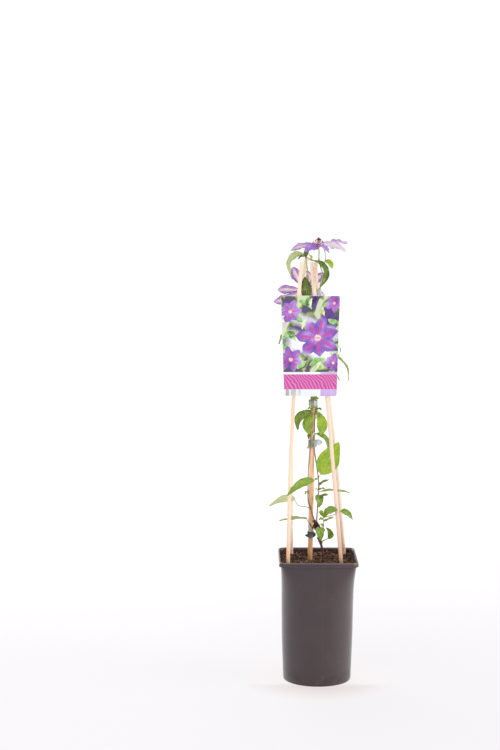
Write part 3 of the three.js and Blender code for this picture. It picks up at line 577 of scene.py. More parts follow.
pot = {
    "cornerSteps": 17, "wall": 2.2,
    # height, half width, corner radius
    "outside": [
        (0, 57.1, 56.6), (0.7, 57.8, 57.3), (2.2, 58.3, 57.8), (16, 58.9, 58.4), (30, 59.4, 58.9),
        (48, 60.0, 59.5), (66, 60.6, 60.1), (88, 61.1, 60.6), (110, 61.4, 60.9), (124, 61.5, 59.8),
        (138, 61.6, 57.5), (150, 61.6, 53), (163, 61.7, 47), (174, 61.9, 39.6), (184, 62.1, 31),
        (193, 62.6, 23), (201, 63.2, 17), (207.6, 63.8, 12.2),
    ],
    "lip": [
        (207.9, 65.6, 12.4), (208.3, 67.2, 13), (209.2, 67.4, 13), (212, 67.2, 13),
        (214.4, 66.8, 12.7), (215.5, 66.5, 12.5), (216, 65.9, 12.1), (216, 65.0, 11.6),
        (215.3, 64.4, 11.2),
    ],
    "drainHoles": 6, "drainCircle": 42, "drainRadius": 4,
}


def ringPoints(height, halfWidth, corner):  # a level square ring with round corners
    steps = pot["cornerSteps"]
    reach = halfWidth - corner
    ring = []
    for quarter in range(4):
        start = quarter * math.pi / 2
        sideX = 1 if math.cos(start + math.pi / 4) > 0 else -1
        sideY = 1 if math.sin(start + math.pi / 4) > 0 else -1
        for i in range(steps + 1):
            angle = start + i / steps * math.pi / 2
            ring.append(Vector((sideX * reach + corner * math.cos(angle),
                                sideY * reach + corner * math.sin(angle), height)) * mm)
    return ring


def loftRings(name, sizes):  # a circle drawn up from ring to ring, then closed at both ends
    rings = [ringPoints(*size) for size in sizes]
    calm()
    bpy.ops.mesh.primitive_circle_add(vertices=len(rings[0]), radius=0.05)
    piece = fresh(name)
    bpy.ops.object.mode_set(mode="EDIT")
    bpy.ops.mesh.select_mode(type="VERT")
    shape = bmesh.from_edit_mesh(piece.data)
    around = sorted(shape.verts, key=lambda vertex: math.atan2(vertex.co.y, vertex.co.x) % (2 * math.pi))
    for vertex, place in zip(around, rings[0]):
        vertex.co = place
    bpy.ops.mesh.select_all(action="SELECT")
    for lower, upper in zip(rings, rings[1:]):
        bpy.ops.mesh.extrude_region_move()
        shape = bmesh.from_edit_mesh(piece.data)
        moves = {low.to_tuple(7): high for low, high in zip(lower, upper)}
        for vertex in shape.verts:
            if vertex.select:
                vertex.co = moves[vertex.co.to_tuple(7)]
        bmesh.update_edit_mesh(piece.data)
    bpy.ops.mesh.edge_face_add()
    bpy.ops.mesh.select_all(action="DESELECT")
    shape = bmesh.from_edit_mesh(piece.data)
    foot = {place.to_tuple(7) for place in rings[0]}
    for vertex in shape.verts:
        vertex.select = vertex.co.to_tuple(7) in foot
    shape.select_flush_mode()
    bpy.ops.mesh.edge_face_add()
    bpy.ops.mesh.select_all(action="SELECT")
    bpy.ops.mesh.normals_make_consistent(inside=False)
    bpy.ops.object.mode_set(mode="OBJECT")
    return piece


def cutAcross(piece, cuts):  # rings of new edges round a straight tube that stands on Z
    bpy.ops.mesh.select_mode(type="EDGE")
    bpy.ops.mesh.select_all(action="DESELECT")
    shape = bmesh.from_edit_mesh(piece.data)
    for edge in shape.edges:
        edge.select = abs(edge.verts[0].co.z - edge.verts[1].co.z) > 0.5
    bmesh.update_edit_mesh(piece.data)
    bpy.ops.mesh.subdivide(number_cuts=cuts)


def insideOfPot():  # from the lip down to the floor
    wall = pot["wall"]
    inside = []
    for height, half, corner in reversed(pot["outside"]):
        if height > wall + 0.8:
            inside.append((height, half - wall, min(corner - wall * 0.6, half - wall - 0.4)))
    height, half, corner = inside[-1]
    inside.append((wall, half - 0.6, corner - 0.6))
    return inside


def makePot():
    body = loftRings("pot", pot["outside"] + pot["lip"] + insideOfPot())
    drills = []
    for i in range(pot["drainHoles"]):
        angle = (i + 0.5) / pot["drainHoles"] * 2 * math.pi
        place = Vector((math.cos(angle), math.sin(angle), 0)) * pot["drainCircle"] * mm
        calm()
        bpy.ops.mesh.primitive_cylinder_add(vertices=24, radius=pot["drainRadius"] * mm, depth=0.012,
                                            location=place)
        drills.append(bpy.context.object)
    drill = joinAll(drills, "drainDrill")
    useModifier(body, "BOOLEAN", object=drill, operation="DIFFERENCE", solver="EXACT")
    bpy.data.objects.remove(drill)
    smooth(body, 28)
    handOver(body, ["pot"], "pot", [paints["pot"]])


compost = {
    "level": 208.2, "half": 63.0, "corner": 13, "cuts": 150, "thickness": 0.0022,
    "noises": [(0.05, 3.1, 1.6), (0.16, 7.7, 1.8), (0.5, 1.3, 1.2)],  # frequency, seed, height
    "heapHeight": 4.6, "heapReach": 9,  # it lies higher along the wall
}


def lumps(x, y):  # the compost's uneven top, in millimetres about its level
    uneven = sum(noise.noise(Vector((x * often, y * often, seed))) * high
                 for often, seed, high in compost["noises"])
    corner = compost["corner"]
    inner = compost["half"] - corner
    beyond = Vector((max(abs(x) - inner, 0), max(abs(y) - inner, 0)))
    fromWall = (corner - beyond.length) / compost["heapReach"]
    heap = compost["heapHeight"] * (1 - min(fromWall, 1)) ** 2
    return uneven * min(0.35 + fromWall, 1) + heap


def makeCompost():
    top = compost["level"] - 4
    fill = [(z, half - 0.4, corner - 0.3) for z, half, corner in reversed(insideOfPot()) if z < top]
    foot, head = fill[0], fill[-1]
    fill[0] = (foot[0] + 0.4, foot[1], foot[2])
    fill.append((top, head[1] + 0.1, head[2] - 3))
    body = loftRings("compostFill", fill)
    handOver(body, ["soil"], "soil", [paints["soil"]])
    calm()
    bpy.ops.mesh.primitive_grid_add(x_subdivisions=compost["cuts"], y_subdivisions=compost["cuts"], size=2)
    crust = fresh("compostTop")
    half, corner = compost["half"], compost["corner"]
    inner = half - corner
    for vertex in crust.data.vertices:
        x, y = vertex.co.x, vertex.co.y
        reach = max(abs(x), abs(y), 1e-9)
        angle = math.atan2(y, x)
        cos, sin = math.cos(angle), math.sin(angle)
        edge = half / max(abs(cos), abs(sin))
        px, py = edge * cos, edge * sin
        if abs(px) > inner and abs(py) > inner:  # pull the corner in to its rounding
            b = inner * (abs(cos) + abs(sin))
            edge = b + math.sqrt(max(b * b - 2 * inner * inner + corner * corner, 0))
        px, py = edge * cos * reach, edge * sin * reach
        vertex.co = Vector((px, py, compost["level"] + lumps(px, py))) * mm
    useModifier(crust, "SOLIDIFY", thickness=compost["thickness"], offset=-1)
    smooth(crust, 60)
    handOver(crust, ["soil"], "soil", [paints["soil"]])


litter = {
    "seed": 5,
    # how many, how far out from the middle, and how far out into a corner
    "chips": 460, "chipSpread": 60, "chipCorner": 110,
    "fibres": 170, "fibreSpread": 56, "fibreCorner": 100, "fibreLimit": 57,
    "rods": [(-51.8, -48.5), (38.6, -44.2), (-44, 41), (47.9, 45.3), (-13, -0.6), (10.8, 25.5),
             (12.4, 33.6)],
    "room": 4.2,  # kept free round each rod and stem
    # the smallest chip, and what the largest has more
    "chipLeast": (1.4, 1.0, 0.6), "chipMore": (6.5, 3.2, 1.5),
    "fibreLength": (3, 11), "fibreRadius": (0.12, 0.32),
}


def hasRoom(x, y, farthest):
    free = all(math.hypot(x - a, y - b) > litter["room"] for a, b in litter["rods"])
    return free and abs(x) + abs(y) <= farthest


def makeChips(pool):  # bark chips scattered on the compost
    calm()
    bpy.ops.mesh.primitive_cube_add(size=1)
    chip = fresh("chipModel")
    bpy.ops.object.mode_set(mode="EDIT")
    bpy.ops.mesh.subdivide(number_cuts=1)
    bpy.ops.object.mode_set(mode="OBJECT")
    chips = []
    while len(chips) < litter["chips"]:
        spread = litter["chipSpread"]
        x, y = pool.uniform(-spread, spread), pool.uniform(-spread, spread)
        if not hasRoom(x, y, litter["chipCorner"]):
            continue
        copy = copyOf(chip, "chip")
        big = pool.random() ** 2
        bigger = Vector((big, big * pool.random(), big)) * Vector(litter["chipMore"])
        size = (Vector(litter["chipLeast"]) + bigger) * mm
        turn = Quaternion((0, 0, 1), pool.uniform(0, 6.3))
        turn = turn @ Quaternion((1, 0, 0), pool.gauss(0, 0.5))
        turn = turn @ Quaternion((0, 1, 0), pool.gauss(0, 0.3))
        middle = Vector((x, y, compost["level"] + lumps(x, y) + 0.3)) * mm
        for vertex in copy.data.vertices:
            rough = Vector((pool.uniform(-1, 1), pool.uniform(-1, 1), pool.uniform(-1, 1))) * 0.16
            place = vertex.co.normalized() * 0.42 + vertex.co * 0.35 + rough
            vertex.co = middle + turn @ (place * size * 1.4)
        chips.append(copy)
    bpy.data.objects.remove(chip)
    bark = joinAll(chips, "barkChips")
    smooth(bark, 50)
    handOver(bark, ["soil"], "soil", [paints["bark"]])


def makeFibres(pool):  # coir fibres and one curl of bark
    limit = litter["fibreLimit"]
    strands = []
    while len(strands) < litter["fibres"]:
        spread = litter["fibreSpread"]
        x, y = pool.uniform(-spread, spread), pool.uniform(-spread, spread)
        if not hasRoom(x, y, litter["fibreCorner"]):
            continue
        heading, length = pool.uniform(0, 6.3), pool.uniform(*litter["fibreLength"])
        points = []
        for i in range(4):
            lift = pool.uniform(-0.2, 0.8) * (0 < i < 3)
            points.append((x, y, compost["level"] + max(lumps(x, y), -0.5) + 0.5 + lift))
            heading += pool.gauss(0, 0.5)
            x = min(max(x + length / 3 * math.cos(heading), -limit), limit)
            y = min(max(y + length / 3 * math.sin(heading), -limit), limit)
        radius = pool.uniform(*litter["fibreRadius"])
        strands.append(growTube("strand", points, radius, 0.5, resolution=0, perSpan=3))
    curl = [(-19.8 + 2.9 * math.cos(a), -23 + 3.4 * math.sin(a), 209.4 + 0.8 * math.sin(a * 2))
            for a in (i / 9 * 2 * math.pi * 0.93 for i in range(10))]
    strands.append(growTube("barkCurl", curl, 0.85, 0.9, resolution=1, perSpan=4))
    coir = joinAll(strands, "coirFibres")
    handOver(coir, ["soil"], "soil", [paints["fibre"]])


makePot()
makeCompost()
litterPool = random.Random(litter["seed"])
makeChips(litterPool)
makeFibres(litterPool)
print("pot and compost made")


sticks = {
    "halfWidth": 3.2, "halfDepth": 2.7, "sunk": 40, "uneven": 0.02,
    "paths": {
        "stick_front_left": [
            (-54, -46, 209), (-50.5, -37, 369), (-44.6, -28, 490), (-35.4, -14, 668), (-31, -10, 718),
        ],
        "stick_front_right": [
            (36.5, -46, 209), (22.6, -36, 368), (11.6, -27, 489), (-9.6, -13, 666), (-15, -10, 717),
        ],
        "stick_back_left": [
            (-42, 43, 209), (-43.4, 34, 330), (-41.6, 24, 490), (-26.8, 11, 690), (-21.6, 8, 724.5),
        ],
        "stick_back_right": [
            (50, 43, 209), (35.6, 31, 357), (20.2, 21, 483), (-3.2, 6, 665), (-7, 2, 716),
        ],
    },
    "finishes": {
        # the front right stick takes the painted-shade copy and the back sticks the painted-light copy of
        # the bamboo
        "stick_front_left": "stick", "stick_front_right": "stickShaded",
        "stick_back_left": "stickBackLit", "stick_back_right": "stickBackLit",
    },
}


def rodModel(name, sides, cuts, squareness):  # a straight rod one unit long, ready to lay on a path
    calm()
    turn = (0, 0, math.pi / sides)
    bpy.ops.mesh.primitive_cylinder_add(vertices=sides, radius=1, depth=1, location=(0, 0, 0.5),
                                        rotation=turn)
    rod = fresh(name)
    bpy.ops.object.transform_apply(location=True, rotation=True, scale=True)
    bpy.ops.object.mode_set(mode="EDIT")
    cutAcross(rod, cuts)
    bpy.ops.mesh.select_mode(type="FACE")
    bpy.ops.mesh.select_all(action="DESELECT")
    shape = bmesh.from_edit_mesh(rod.data)
    for face in shape.faces:
        face.select = len(face.verts) > 4 and face.calc_center_median().z > 0.99
    bmesh.update_edit_mesh(rod.data)
    bpy.ops.mesh.inset(thickness=0.12, depth=0)
    bpy.ops.transform.translate(value=(0, 0, 0.0009))
    bpy.ops.object.mode_set(mode="OBJECT")
    for vertex in rod.data.vertices:
        x, y = vertex.co.x, vertex.co.y
        r = math.hypot(x, y)
        if r > 1e-6:
            cos, sin = x / r, y / r
            vertex.co.x = r * math.copysign(abs(cos) ** squareness, cos)
            vertex.co.y = r * math.copysign(abs(sin) ** squareness, sin)
    return rod


def layRod(model, name, path, widths, seed, uneven, joints=(), swell=0.0):
    rod = copyOf(model, name)
    lengths = [0.0]
    for a, b in zip(path, path[1:]):
        lengths.append(lengths[-1] + (b - a).length)
    for vertex in rod.data.vertices:
        want = min(max(vertex.co.z, 0), 1) * lengths[-1]
        span = max(i for i in range(len(path) - 1) if lengths[i] <= want + 1e-9)
        share = (want - lengths[span]) / (lengths[span + 1] - lengths[span])
        middle = path[span].lerp(path[span + 1], share)
        along = (vertex.co.z > 1) * (vertex.co.z - 1)
        height = middle.z / mm
        wobble = 1 + uneven * noise.noise(Vector((vertex.co.x, vertex.co.y, want * 30 + seed)))
        wobble += uneven * 0.8 * noise.noise(Vector((seed, 0, want * 9)))
        grow = sum(swell * math.exp(-((height - joint) / jointReach) ** 2) for joint in joints)
        vertex.co = middle + Vector((vertex.co.x * (widths[0] * wobble + grow) * mm,
                                     vertex.co.y * (widths[1] * wobble + grow) * mm, along))
    smooth(rod, 50)
    return rod


def makeSticks():
    model = rodModel("stickModel", 16, 96, 0.8)
    for seed, (name, points) in enumerate(sticks["paths"].items()):
        foot = Vector(points[0])
        sunk = Vector((foot.x * 0.87, foot.y * 0.87, foot.z - sticks["sunk"]))
        path = [sunk * mm, *smoothPath(points, 12)]
        widths = (sticks["halfWidth"], sticks["halfDepth"])
        rod = layRod(model, "rod" + name.title().replace("_", ""), path, widths, seed * 7.3,
                     sticks["uneven"])
        handOver(rod, [name], "stick", [paints[sticks["finishes"][name]]])
    bpy.data.objects.remove(model)


cane = {
    "foot": (-13, 0, 209), "head": (-8, 0, 640), "radius": 4.1, "sunk": 60, "uneven": 0.03,
    "joints": (263, 380, 504, 621), "jointSwell": 0.4,
}


def makeCane():
    model = rodModel("caneModel", 24, 140, 1.0)
    foot, head = Vector(cane["foot"]), Vector(cane["head"])
    start = foot + (foot - head).normalized() * cane["sunk"]
    path = [start.lerp(head, i / 30) * mm for i in range(31)]
    widths = (cane["radius"], cane["radius"])
    rod = layRod(model, "caneRod", path, widths, 3.3, cane["uneven"], cane["joints"], cane["jointSwell"])
    bpy.data.objects.remove(model)
    handOver(rod, ["cane"], "cane", [paints["cane"]])


makeSticks()
makeCane()
print("sticks and cane made")


def sheetModel(name, columns, rows):  # an unbent blade: x from -1 to 1 across, y from 0 to 1 along
    calm()
    bpy.ops.mesh.primitive_grid_add(x_subdivisions=columns, y_subdivisions=rows, size=2)
    sheet = fresh(name)
    bpy.ops.object.mode_set(mode="EDIT")
    bpy.ops.mesh.select_all(action="SELECT")
    bpy.ops.transform.resize(value=(1, 0.5, 1))
    bpy.ops.transform.translate(value=(0, 0.5, 0))
    bpy.ops.mesh.select_all(action="DESELECT")
    shape = bmesh.from_edit_mesh(sheet.data)
    for vertex in shape.verts:
        vertex.select = abs(vertex.co.x) < 1e-4
    shape.select_flush_mode()
    bmesh.update_edit_mesh(sheet.data)
    bpy.ops.transform.translate(value=(0, 0, -0.25))  # sinks the midrib
    bpy.ops.object.mode_set(mode="OBJECT")
    return sheet


bladeShape = {"stalkHalf": 0.6, "edgeUneven": 0.05, "crumple": 0.8, "veinedWidth": 22}


def outlineAt(t, widest):  # a blade's share of its full width
    return max(math.sin(math.pi * t ** (math.log(0.5) / math.log(widest))), 0) ** 0.85


def bendBlade(model, name, base, bend, tip, width, facing, fold=18, wave=0.8, widest=0.42, tint=0.5,
              ripple=0.25, ripples=5, seed=0.0):
    blade = copyOf(model, name)
    a, b, c = Vector(base) * mm, Vector(bend) * mm, Vector(tip) * mm
    across = (c - a).cross(Vector(facing)).normalized()
    lift = math.radians(fold)
    narrow = bladeShape["stalkHalf"]
    for vertex in blade.data.vertices:
        u, t, relief = vertex.co
        middle = (1 - t) ** 2 * a + 2 * t * (1 - t) * b + t * t * c
        along = ((1 - t) * (b - a) + t * (c - b)).normalized()
        right = (across - along * across.dot(along)).normalized()
        up = right.cross(along)
        half = narrow + (width / 2 - narrow) * outlineAt(t, widest)
        side = math.copysign(1, u)
        uneven = 1 + bladeShape["edgeUneven"] * noise.noise(Vector((seed, t * 5, side * 2.0)))
        body = math.sin(math.pi * min(t * 1.15, 1))
        rise = half * abs(u) ** 1.3 * math.sin(lift)
        rise += wave * u * u * math.sin(t * 4 * math.pi + u)
        phase = seed if u > 0 else seed * 2.3 + 1.7
        rise += ripple * body * abs(u) ** 3 * math.sin(t * ripples * 2 * math.pi + phase)
        crumple = noise.noise(Vector((u * 1.7 + seed, t * 6, seed * 3.1)))
        rise += ripple * bladeShape["crumple"] * crumple * min(abs(u) * 2, 1)
        rise += relief * min(width / bladeShape["veinedWidth"], 1) * body
        vertex.co = middle + (right * half * uneven * u * math.cos(lift) + up * rise) * mm
    shade = blade.data.attributes.new("tint", "FLOAT", "POINT")
    for item in shade.data:
        item.value = tint
    return blade


def finishBlades(blades, name, thickness, nodeNames, slotName, upper, under):
    whole = joinAll(blades, name)
    whole.data.materials.append(upper)
    whole.data.materials.append(under)
    useModifier(whole, "SOLIDIFY", thickness=thickness * mm, offset=0, use_even_offset=False,
                material_offset=1, material_offset_rim=0)
    smooth(whole, 60)
    sides = [polygon.material_index for polygon in whole.data.polygons]
    handOver(whole, nodeNames, slotName, [upper, under])
    for polygon, side in zip(whole.data.polygons, sides):
        polygon.material_index = side


# each leaf: base, bend, tip, width, the way its upper side looks, then what differs from a plain leaf
rightLeaves = [
    ((8, -12, 284), (16.5, -38, 305), (28.5, -52, 303.5), 18, (0, -0.85, 0.5), dict(fold=20, tint=0.5)),
    ((8, -13, 286), (3.8, -16, 297), (0.2, -14, 293), 8, (0, -0.9, 0.4), dict(tint=0.7)),
    ((35.5, -39, 299.5), (45.5, -38, 300.5), (56.3, -34, 284.4), 11.5, (0.2, -0.85, 0.5),
     dict(fold=20, tint=0.4)),
    ((8.6, -8.6, 278.5), (4.4, -10.5, 284.2), (1, -10, 279), 6, (0, -0.6, 0.8), dict(tint=0.7)),
    ((9, -7, 276.5), (15.5, -11, 280), (27, -11, 285.2), 5, (0, -0.5, 0.8), dict(tint=0.7)),
    ((9.5, -3, 267), (6, -5, 269), (4, -7, 273), 5, (0, -0.8, 0.5), dict(tint=0.75)),
    ((1.4, -1, 264), (2.6, -9, 260), (5.4, -6, 242), 16, (0.1, -0.9, 0.4),
     dict(fold=22, tint=0.52, widest=0.36)),
    ((18, 2, 245), (29.2, -4, 255.4), (13.4, -3, 265), 11.5, (-0.3, -0.8, -0.3), dict(fold=24, tint=0.5)),
    ((1, 0, 336.4), (4.9, -3, 344.4), (18.6, -5, 348.2), 6, (0, -0.6, 0.8), dict(tint=0.25)),
    ((0.5, 0, 326), (30, -1, 332), (56, -5, 324), 8, (0, 0.3, -0.95), dict(fold=-26, tint=0.35)),
    ((0.6, 0, 329), (6, -4, 334), (12, -5, 332), 6, (0, -0.4, 0.9), dict(tint=0.7)),
    ((0, -0.5, 321), (3.2, -12, 312.6), (0.4, -11, 301.3), 15, (0.1, -0.95, 0.2),
     dict(tint=0.46, widest=0.3)),
    ((1, -3, 316), (8.6, -8, 322.9), (17.1, -8, 322.8), 7, (0, -0.6, 0.8), dict(tint=0.35)),
    ((-9, -9.5, 348), (-30.8, -34, 351.5), (-56.7, -54, 329.7), 17.5, (-0.2, -0.85, 0.5),
     dict(tint=0.5, widest=0.36)),
    ((3.6, -7, 358), (14, -13, 379), (34.6, -3, 412), 38, (0.1, -0.95, 0.25),
     dict(fold=12, wave=1.4, tint=0.71, widest=0.46)),
    ((-7, -6, 427), (17.6, -16, 427.5), (14.7, -18, 399.8), 10, (0.3, -0.85, 0.45),
     dict(fold=20, tint=0.4)),
    ((-7.6, -6, 429), (-11, -11, 430), (-11.2, -12, 420), 6, (-0.3, -0.9, 0), dict(tint=0.85)),
    ((-2.5, -6, 465.4), (8.6, -12, 450), (3.2, -10, 424.6), 18.5, (0.1, -1, 0.1),
     dict(fold=10, tint=0.68, widest=0.58)),
    ((-6.6, -6, 467.3), (0.5, -10, 474), (4.3, -11, 467.6), 5, (0, -0.6, 0.8), dict(tint=0.3)),
    ((-6.6, -6.2, 466), (-5.6, -11, 473), (-3.1, -12, 476), 5, (0.3, -0.9, 0.2), dict(tint=0.6)),
    ((-6.6, -6.4, 465.7), (-0.7, -14, 464.7), (-3.2, -15, 454.6), 9, (0.2, -0.9, 0.4),
     dict(fold=24, tint=0.5)),
    ((0.2, -0.6, 346.5), (-3.3, -4, 352.7), (-6.9, -5, 346.7), 4, (0, -0.6, 0.8), dict(tint=0.6)),
    ((0.4, -0.6, 327.6), (-2.3, -4, 333), (-5.2, -5, 331.8), 4, (0, -0.6, 0.8), dict(tint=0.75)),
    ((16, -2, 563), (53, 1, 550), (50, 3, 517), 11, (0.8, -0.1, 0.6), dict(fold=34, tint=0.45)),
    ((26, -2, 577), (41, -2, 576), (32.5, -3, 559.5), 4.5, (0.8, 0, 0.6), dict(tint=0.5)),
    ((18, -3, 532), (30, -3, 529), (36, -4, 515), 6, (0.5, -0.3, 0.8), dict(tint=0.75)),
    ((9, -2, 699), (10, -3, 702), (8, -4, 705), 3, (0.8, -0.5, 0), dict(tint=0.6)),
    ((6, 20, 574), (10, 42, 584), (2, 56, 556), 24, (0.1, 0.5, 0.85), dict(fold=22, wave=1.2, tint=0.45)),
    ((-5, 20, 620), (2, 38, 632), (4, 48, 600), 20, (0.1, 0.5, 0.8), dict(fold=24, tint=0.4)),
    ((9, 0, 719.5), (17.1, -8, 719.7), (20.4, -10, 706.4), 11, (0.3, -0.9, 0.4),
     dict(fold=14, tint=0.72, widest=0.45)),
]
leftLeaves = [
    ((-12.6, -7, 466), (-42.2, -20, 463.5), (-36.7, -22, 436.5), 15.5, (-0.3, -0.9, 0.4),
     dict(fold=12, wave=1.2, tint=0.38)),
    ((-12, -8, 464), (-24.8, -18, 446.6), (-16.2, -13, 427.2), 18.5, (-0.3, -0.95, 0.1),
     dict(fold=10, wave=1.2, tint=0.6, widest=0.5)),
    ((-12.6, -7, 468), (-15.5, -11, 474), (-19.6, -12, 470.5), 5, (0, -0.6, 0.8), dict(tint=0.4)),
    ((-12.6, -6.6, 468), (-12, -10, 472), (-12.5, -12, 474.5), 5, (0, -0.9, 0.2), dict(tint=0.7)),
    ((-13.4, -6.2, 486), (-8, -11, 490), (0, -9, 487.4), 8, (0, -0.7, 0.7), dict(tint=0.45)),
    ((-15, -6, 429), (-18.3, -9, 427.4), (-17.2, -9.4, 418), 5, (-0.3, -0.9, 0.2), dict(tint=0.22)),
    ((-40, 0, 313.4), (-61.7, -2, 319.6), (-83.7, -6, 302.5), 14.5, (0.1, 0.8, -0.55),
     dict(fold=-20, tint=0.8, widest=0.3)),
    ((-18.6, 3, 280), (-43.6, 4, 280), (-66, 3, 275.7), 12, (0, 0.25, -0.97), dict(fold=-18, tint=0.4)),
    ((-17.4, -1, 326), (-20, -3, 329), (-23, -5, 323), 5, (0, -0.5, 0.85), dict(tint=0.7)),
    ((-50, 1, 596), (-62, 0, 597), (-68, -2, 579), 12, (-0.6, -0.3, 0.8), dict(fold=26, tint=0.45)),
    ((-24.6, 2, 692), (-24.3, -3, 674), (-18.3, -4, 647.3), 19, (0.1, -0.95, 0.25),
     dict(fold=10, tint=0.12, widest=0.5)),
    ((-26, 22, 560), (-30, 40, 573), (-37, 53, 546), 25, (-0.4, 0.4, 0.85),
     dict(fold=22, wave=1.2, tint=0.42)),
    ((-34, 22, 618), (-48, 34, 626), (-52, 36, 596), 18, (-0.5, 0.3, 0.8), dict(fold=24, tint=0.4)),
    ((-25, -4, 728), (-60.5, -18, 735), (-47.5, -22, 689.5), 17, (-0.5, 0.75, 0.45),
     dict(fold=30, wave=1, tint=0.5)),
    ((-24.8, -2.8, 726.3), (-31.2, -12, 729.3), (-37.5, -14, 723.2), 6, (-0.2, -0.5, 0.9), dict(tint=0.15)),
    ((-24, -3, 726.5), (-24.4, -5, 735), (-18, -5, 739.6), 9, (-0.2, -1, 0), dict(fold=24, tint=0.2)),
    ((-14.8, -6, 720.1), (-13.3, -8, 727.2), (-18.5, -8, 729.8), 4, (0.3, -0.9, 0.1), dict(tint=0.8)),
    ((-14.8, -6, 720.1), (24.4, -22, 712), (-3.4, -24, 673.4), 15, (0.45, -0.6, 0.65),
     dict(fold=22, wave=1.2, tint=0.15)),
]


def makeLeaves(name, places, nodeName, seed):
    fine = sheetModel("leafModel", 14, 30)
    small = sheetModel("leafletModel", 8, 14)
    blades = []
    for i, (base, bend, tip, width, facing, more) in enumerate(places):
        model = fine if width > 8 else small
        blades.append(bendBlade(model, f"{name}{i}", base, bend, tip, width, facing,
                                ripple=0.03 * width, seed=seed + i * 1.37, **more))
    for model in (fine, small):
        bpy.data.objects.remove(model)
    finishBlades(blades, name, 0.5, [nodeName], "vine", paints["leafUpper"], paints["leafUnder"])


makeLeaves("leavesRight", rightLeaves, "vine_right", 2.0)
makeLeaves("leavesLeft", leftLeaves, "vine_left", 9.0)
print("leaves made")


stems = {
    "vine_right": {
        "side": "Right", "bark": "stem",
        "main": [
            (12, 25, 204), (7, 19, 230), (5, 14, 238), (0, 9, 258), (-1.5, 5, 275), (-1, 2, 291),
            (0, 0, 317), (1, 0, 338), (0, -0.5, 352), (-4, -4, 378), (-7.3, -5.4, 400),
            (-7.6, -5.4, 424), (-7.4, -6, 442), (-6.6, -6, 461), (-6.4, -5.6, 478), (-3, -4, 519),
            (0, -3, 570), (1, -2, 615), (1.2, -0.6, 645), (1, 0, 660), (0.8, 0.4, 674), (1.6, 1, 683),
            (5.8, 0, 694), (1.4, -0.6, 709), (-1.6, -1, 722), (-1.2, 0, 734), (-2, 0, 741.4),
        ],
        # height and size of each knuckle
        "swell": [
            (238, 0.9), (258, 0.3), (335, 0.5), (351, 0.4), (426, 0.6), (461, 0.7), (694, 0.7),
            (722, 0.5),
        ],
        "shoots": [
            [(5, 14, 238), (9, 6, 250), (10, 0, 260), (9, -6, 273), (8, -12, 284)],
            [(8, -12, 283.5), (21, -16, 288), (30, -29, 294), (35.5, -39, 300)],
            [(6, 15, 236), (12, 9, 240), (18, 2, 245)],
            [(0.2, 9, 257), (2, 4, 262), (1.4, -1, 264)],
            [(1, 0, 349), (-4, -6.5, 348.5), (-9, -9.5, 348)],
            [(1, 0, 352), (2, -4, 354), (3.6, -7, 358)],
            [(-6.6, -6, 460), (-4.6, -6, 464), (-2.5, -6, 465.4)],
            [(-1, -3, 556), (8, -3, 565), (16, -2, 563)],
            [(0, -3, 570), (12, -4, 580), (26, -2, 577)],
            [(-3, -4, 519), (8, -3, 531), (18, -3, 532)],
            [(-1.6, -1, 722), (4, 0, 714), (9, 0, 719), (9, 0, 731), (7, -2, 741)],
            [(5.8, 0, 694), (7.6, -1, 695.5), (9, -2, 699)],
            [(0, -3, 560), (3, 8, 566), (6, 20, 574)],
            [(1, -2, 610), (-3.6, 8, 615), (-5, 20, 620)],
        ],
    },
    "vine_left": {
        "side": "Left", "bark": "stemPale",
        "main": [
            (14, 33, 204), (9.5, 27, 228), (3, 19.5, 246), (-3.5, 8, 262), (-5.5, -2, 275),
            (-10, -7, 288), (-13, -6.8, 299), (-16.6, -4, 308), (-17.4, -1, 330), (-17, -1, 364),
            (-15.6, -3.4, 390), (-14.4, -4.4, 412), (-14, -6.6, 442), (-12.4, -7, 465),
            (-13.2, -6.4, 478), (-15, -4, 520), (-17, -2, 570), (-19, 0, 615), (-21.5, 3, 650),
            (-22.6, 4, 672), (-21.6, 2.4, 692), (-20.6, 0.8, 703), (-22, -1, 714), (-24, -2, 727),
        ],
        "swell": [
            (299, 0.6), (326, 0.5), (465, 0.6), (662, 0.3), (667, 0.3), (672, 0.4), (677, 0.4),
            (682, 0.4), (687, 0.4), (692, 0.7), (697, 0.3), (726, 0.8),
        ],
        "shoots": [
            [(-13.4, -6.6, 299.6), (-24, -5, 302), (-33, -2, 303), (-37, 0, 307), (-40, 0, 314)],
            [(-4.6, 3, 268.5), (-8, -5.8, 264.5), (-12.5, -7.4, 269), (-16.6, -5, 275), (-18.8, 0, 279),
             (-18.6, 3, 280)],
            [(-17.5, -1, 575), (-32, 2, 590), (-50, 1, 596)],
            [(-22.4, 3.6, 690), (-24, 2, 692)],
            [(-24, -2, 727), (-19, -4, 724), (-14.8, -6, 720.1)],
            [(-20, 1, 630), (-20, 10, 640), (-21, 19, 655), (-23, 21.4, 665)],
            [(-16, -3, 545), (-20, 10, 552), (-26, 22, 560)],
            [(-19, 0, 612), (-24, 12, 618), (-34, 22, 618)],
        ],
    },
}


stemSizes = {"main": 1.15, "mainTaper": 0.8, "stalk": 0.66, "stalkTaper": 0.92}  # radii in millimetres


def makeStems():
    for nodeName, parts in stems.items():
        main = growTube("stem" + parts["side"], parts["main"], stemSizes["main"], stemSizes["mainTaper"],
                        parts["swell"], resolution=3)
        handOver(main, [nodeName], "vine", [paints[parts["bark"]]])
        stalks = [growTube("stalk", points, stemSizes["stalk"], stemSizes["stalkTaper"], perSpan=6)
                  for points in parts["shoots"]]
        whole = joinAll(stalks, "leafStalks" + parts["side"])
        handOver(whole, [nodeName], "vine", [paints["petiole"]])


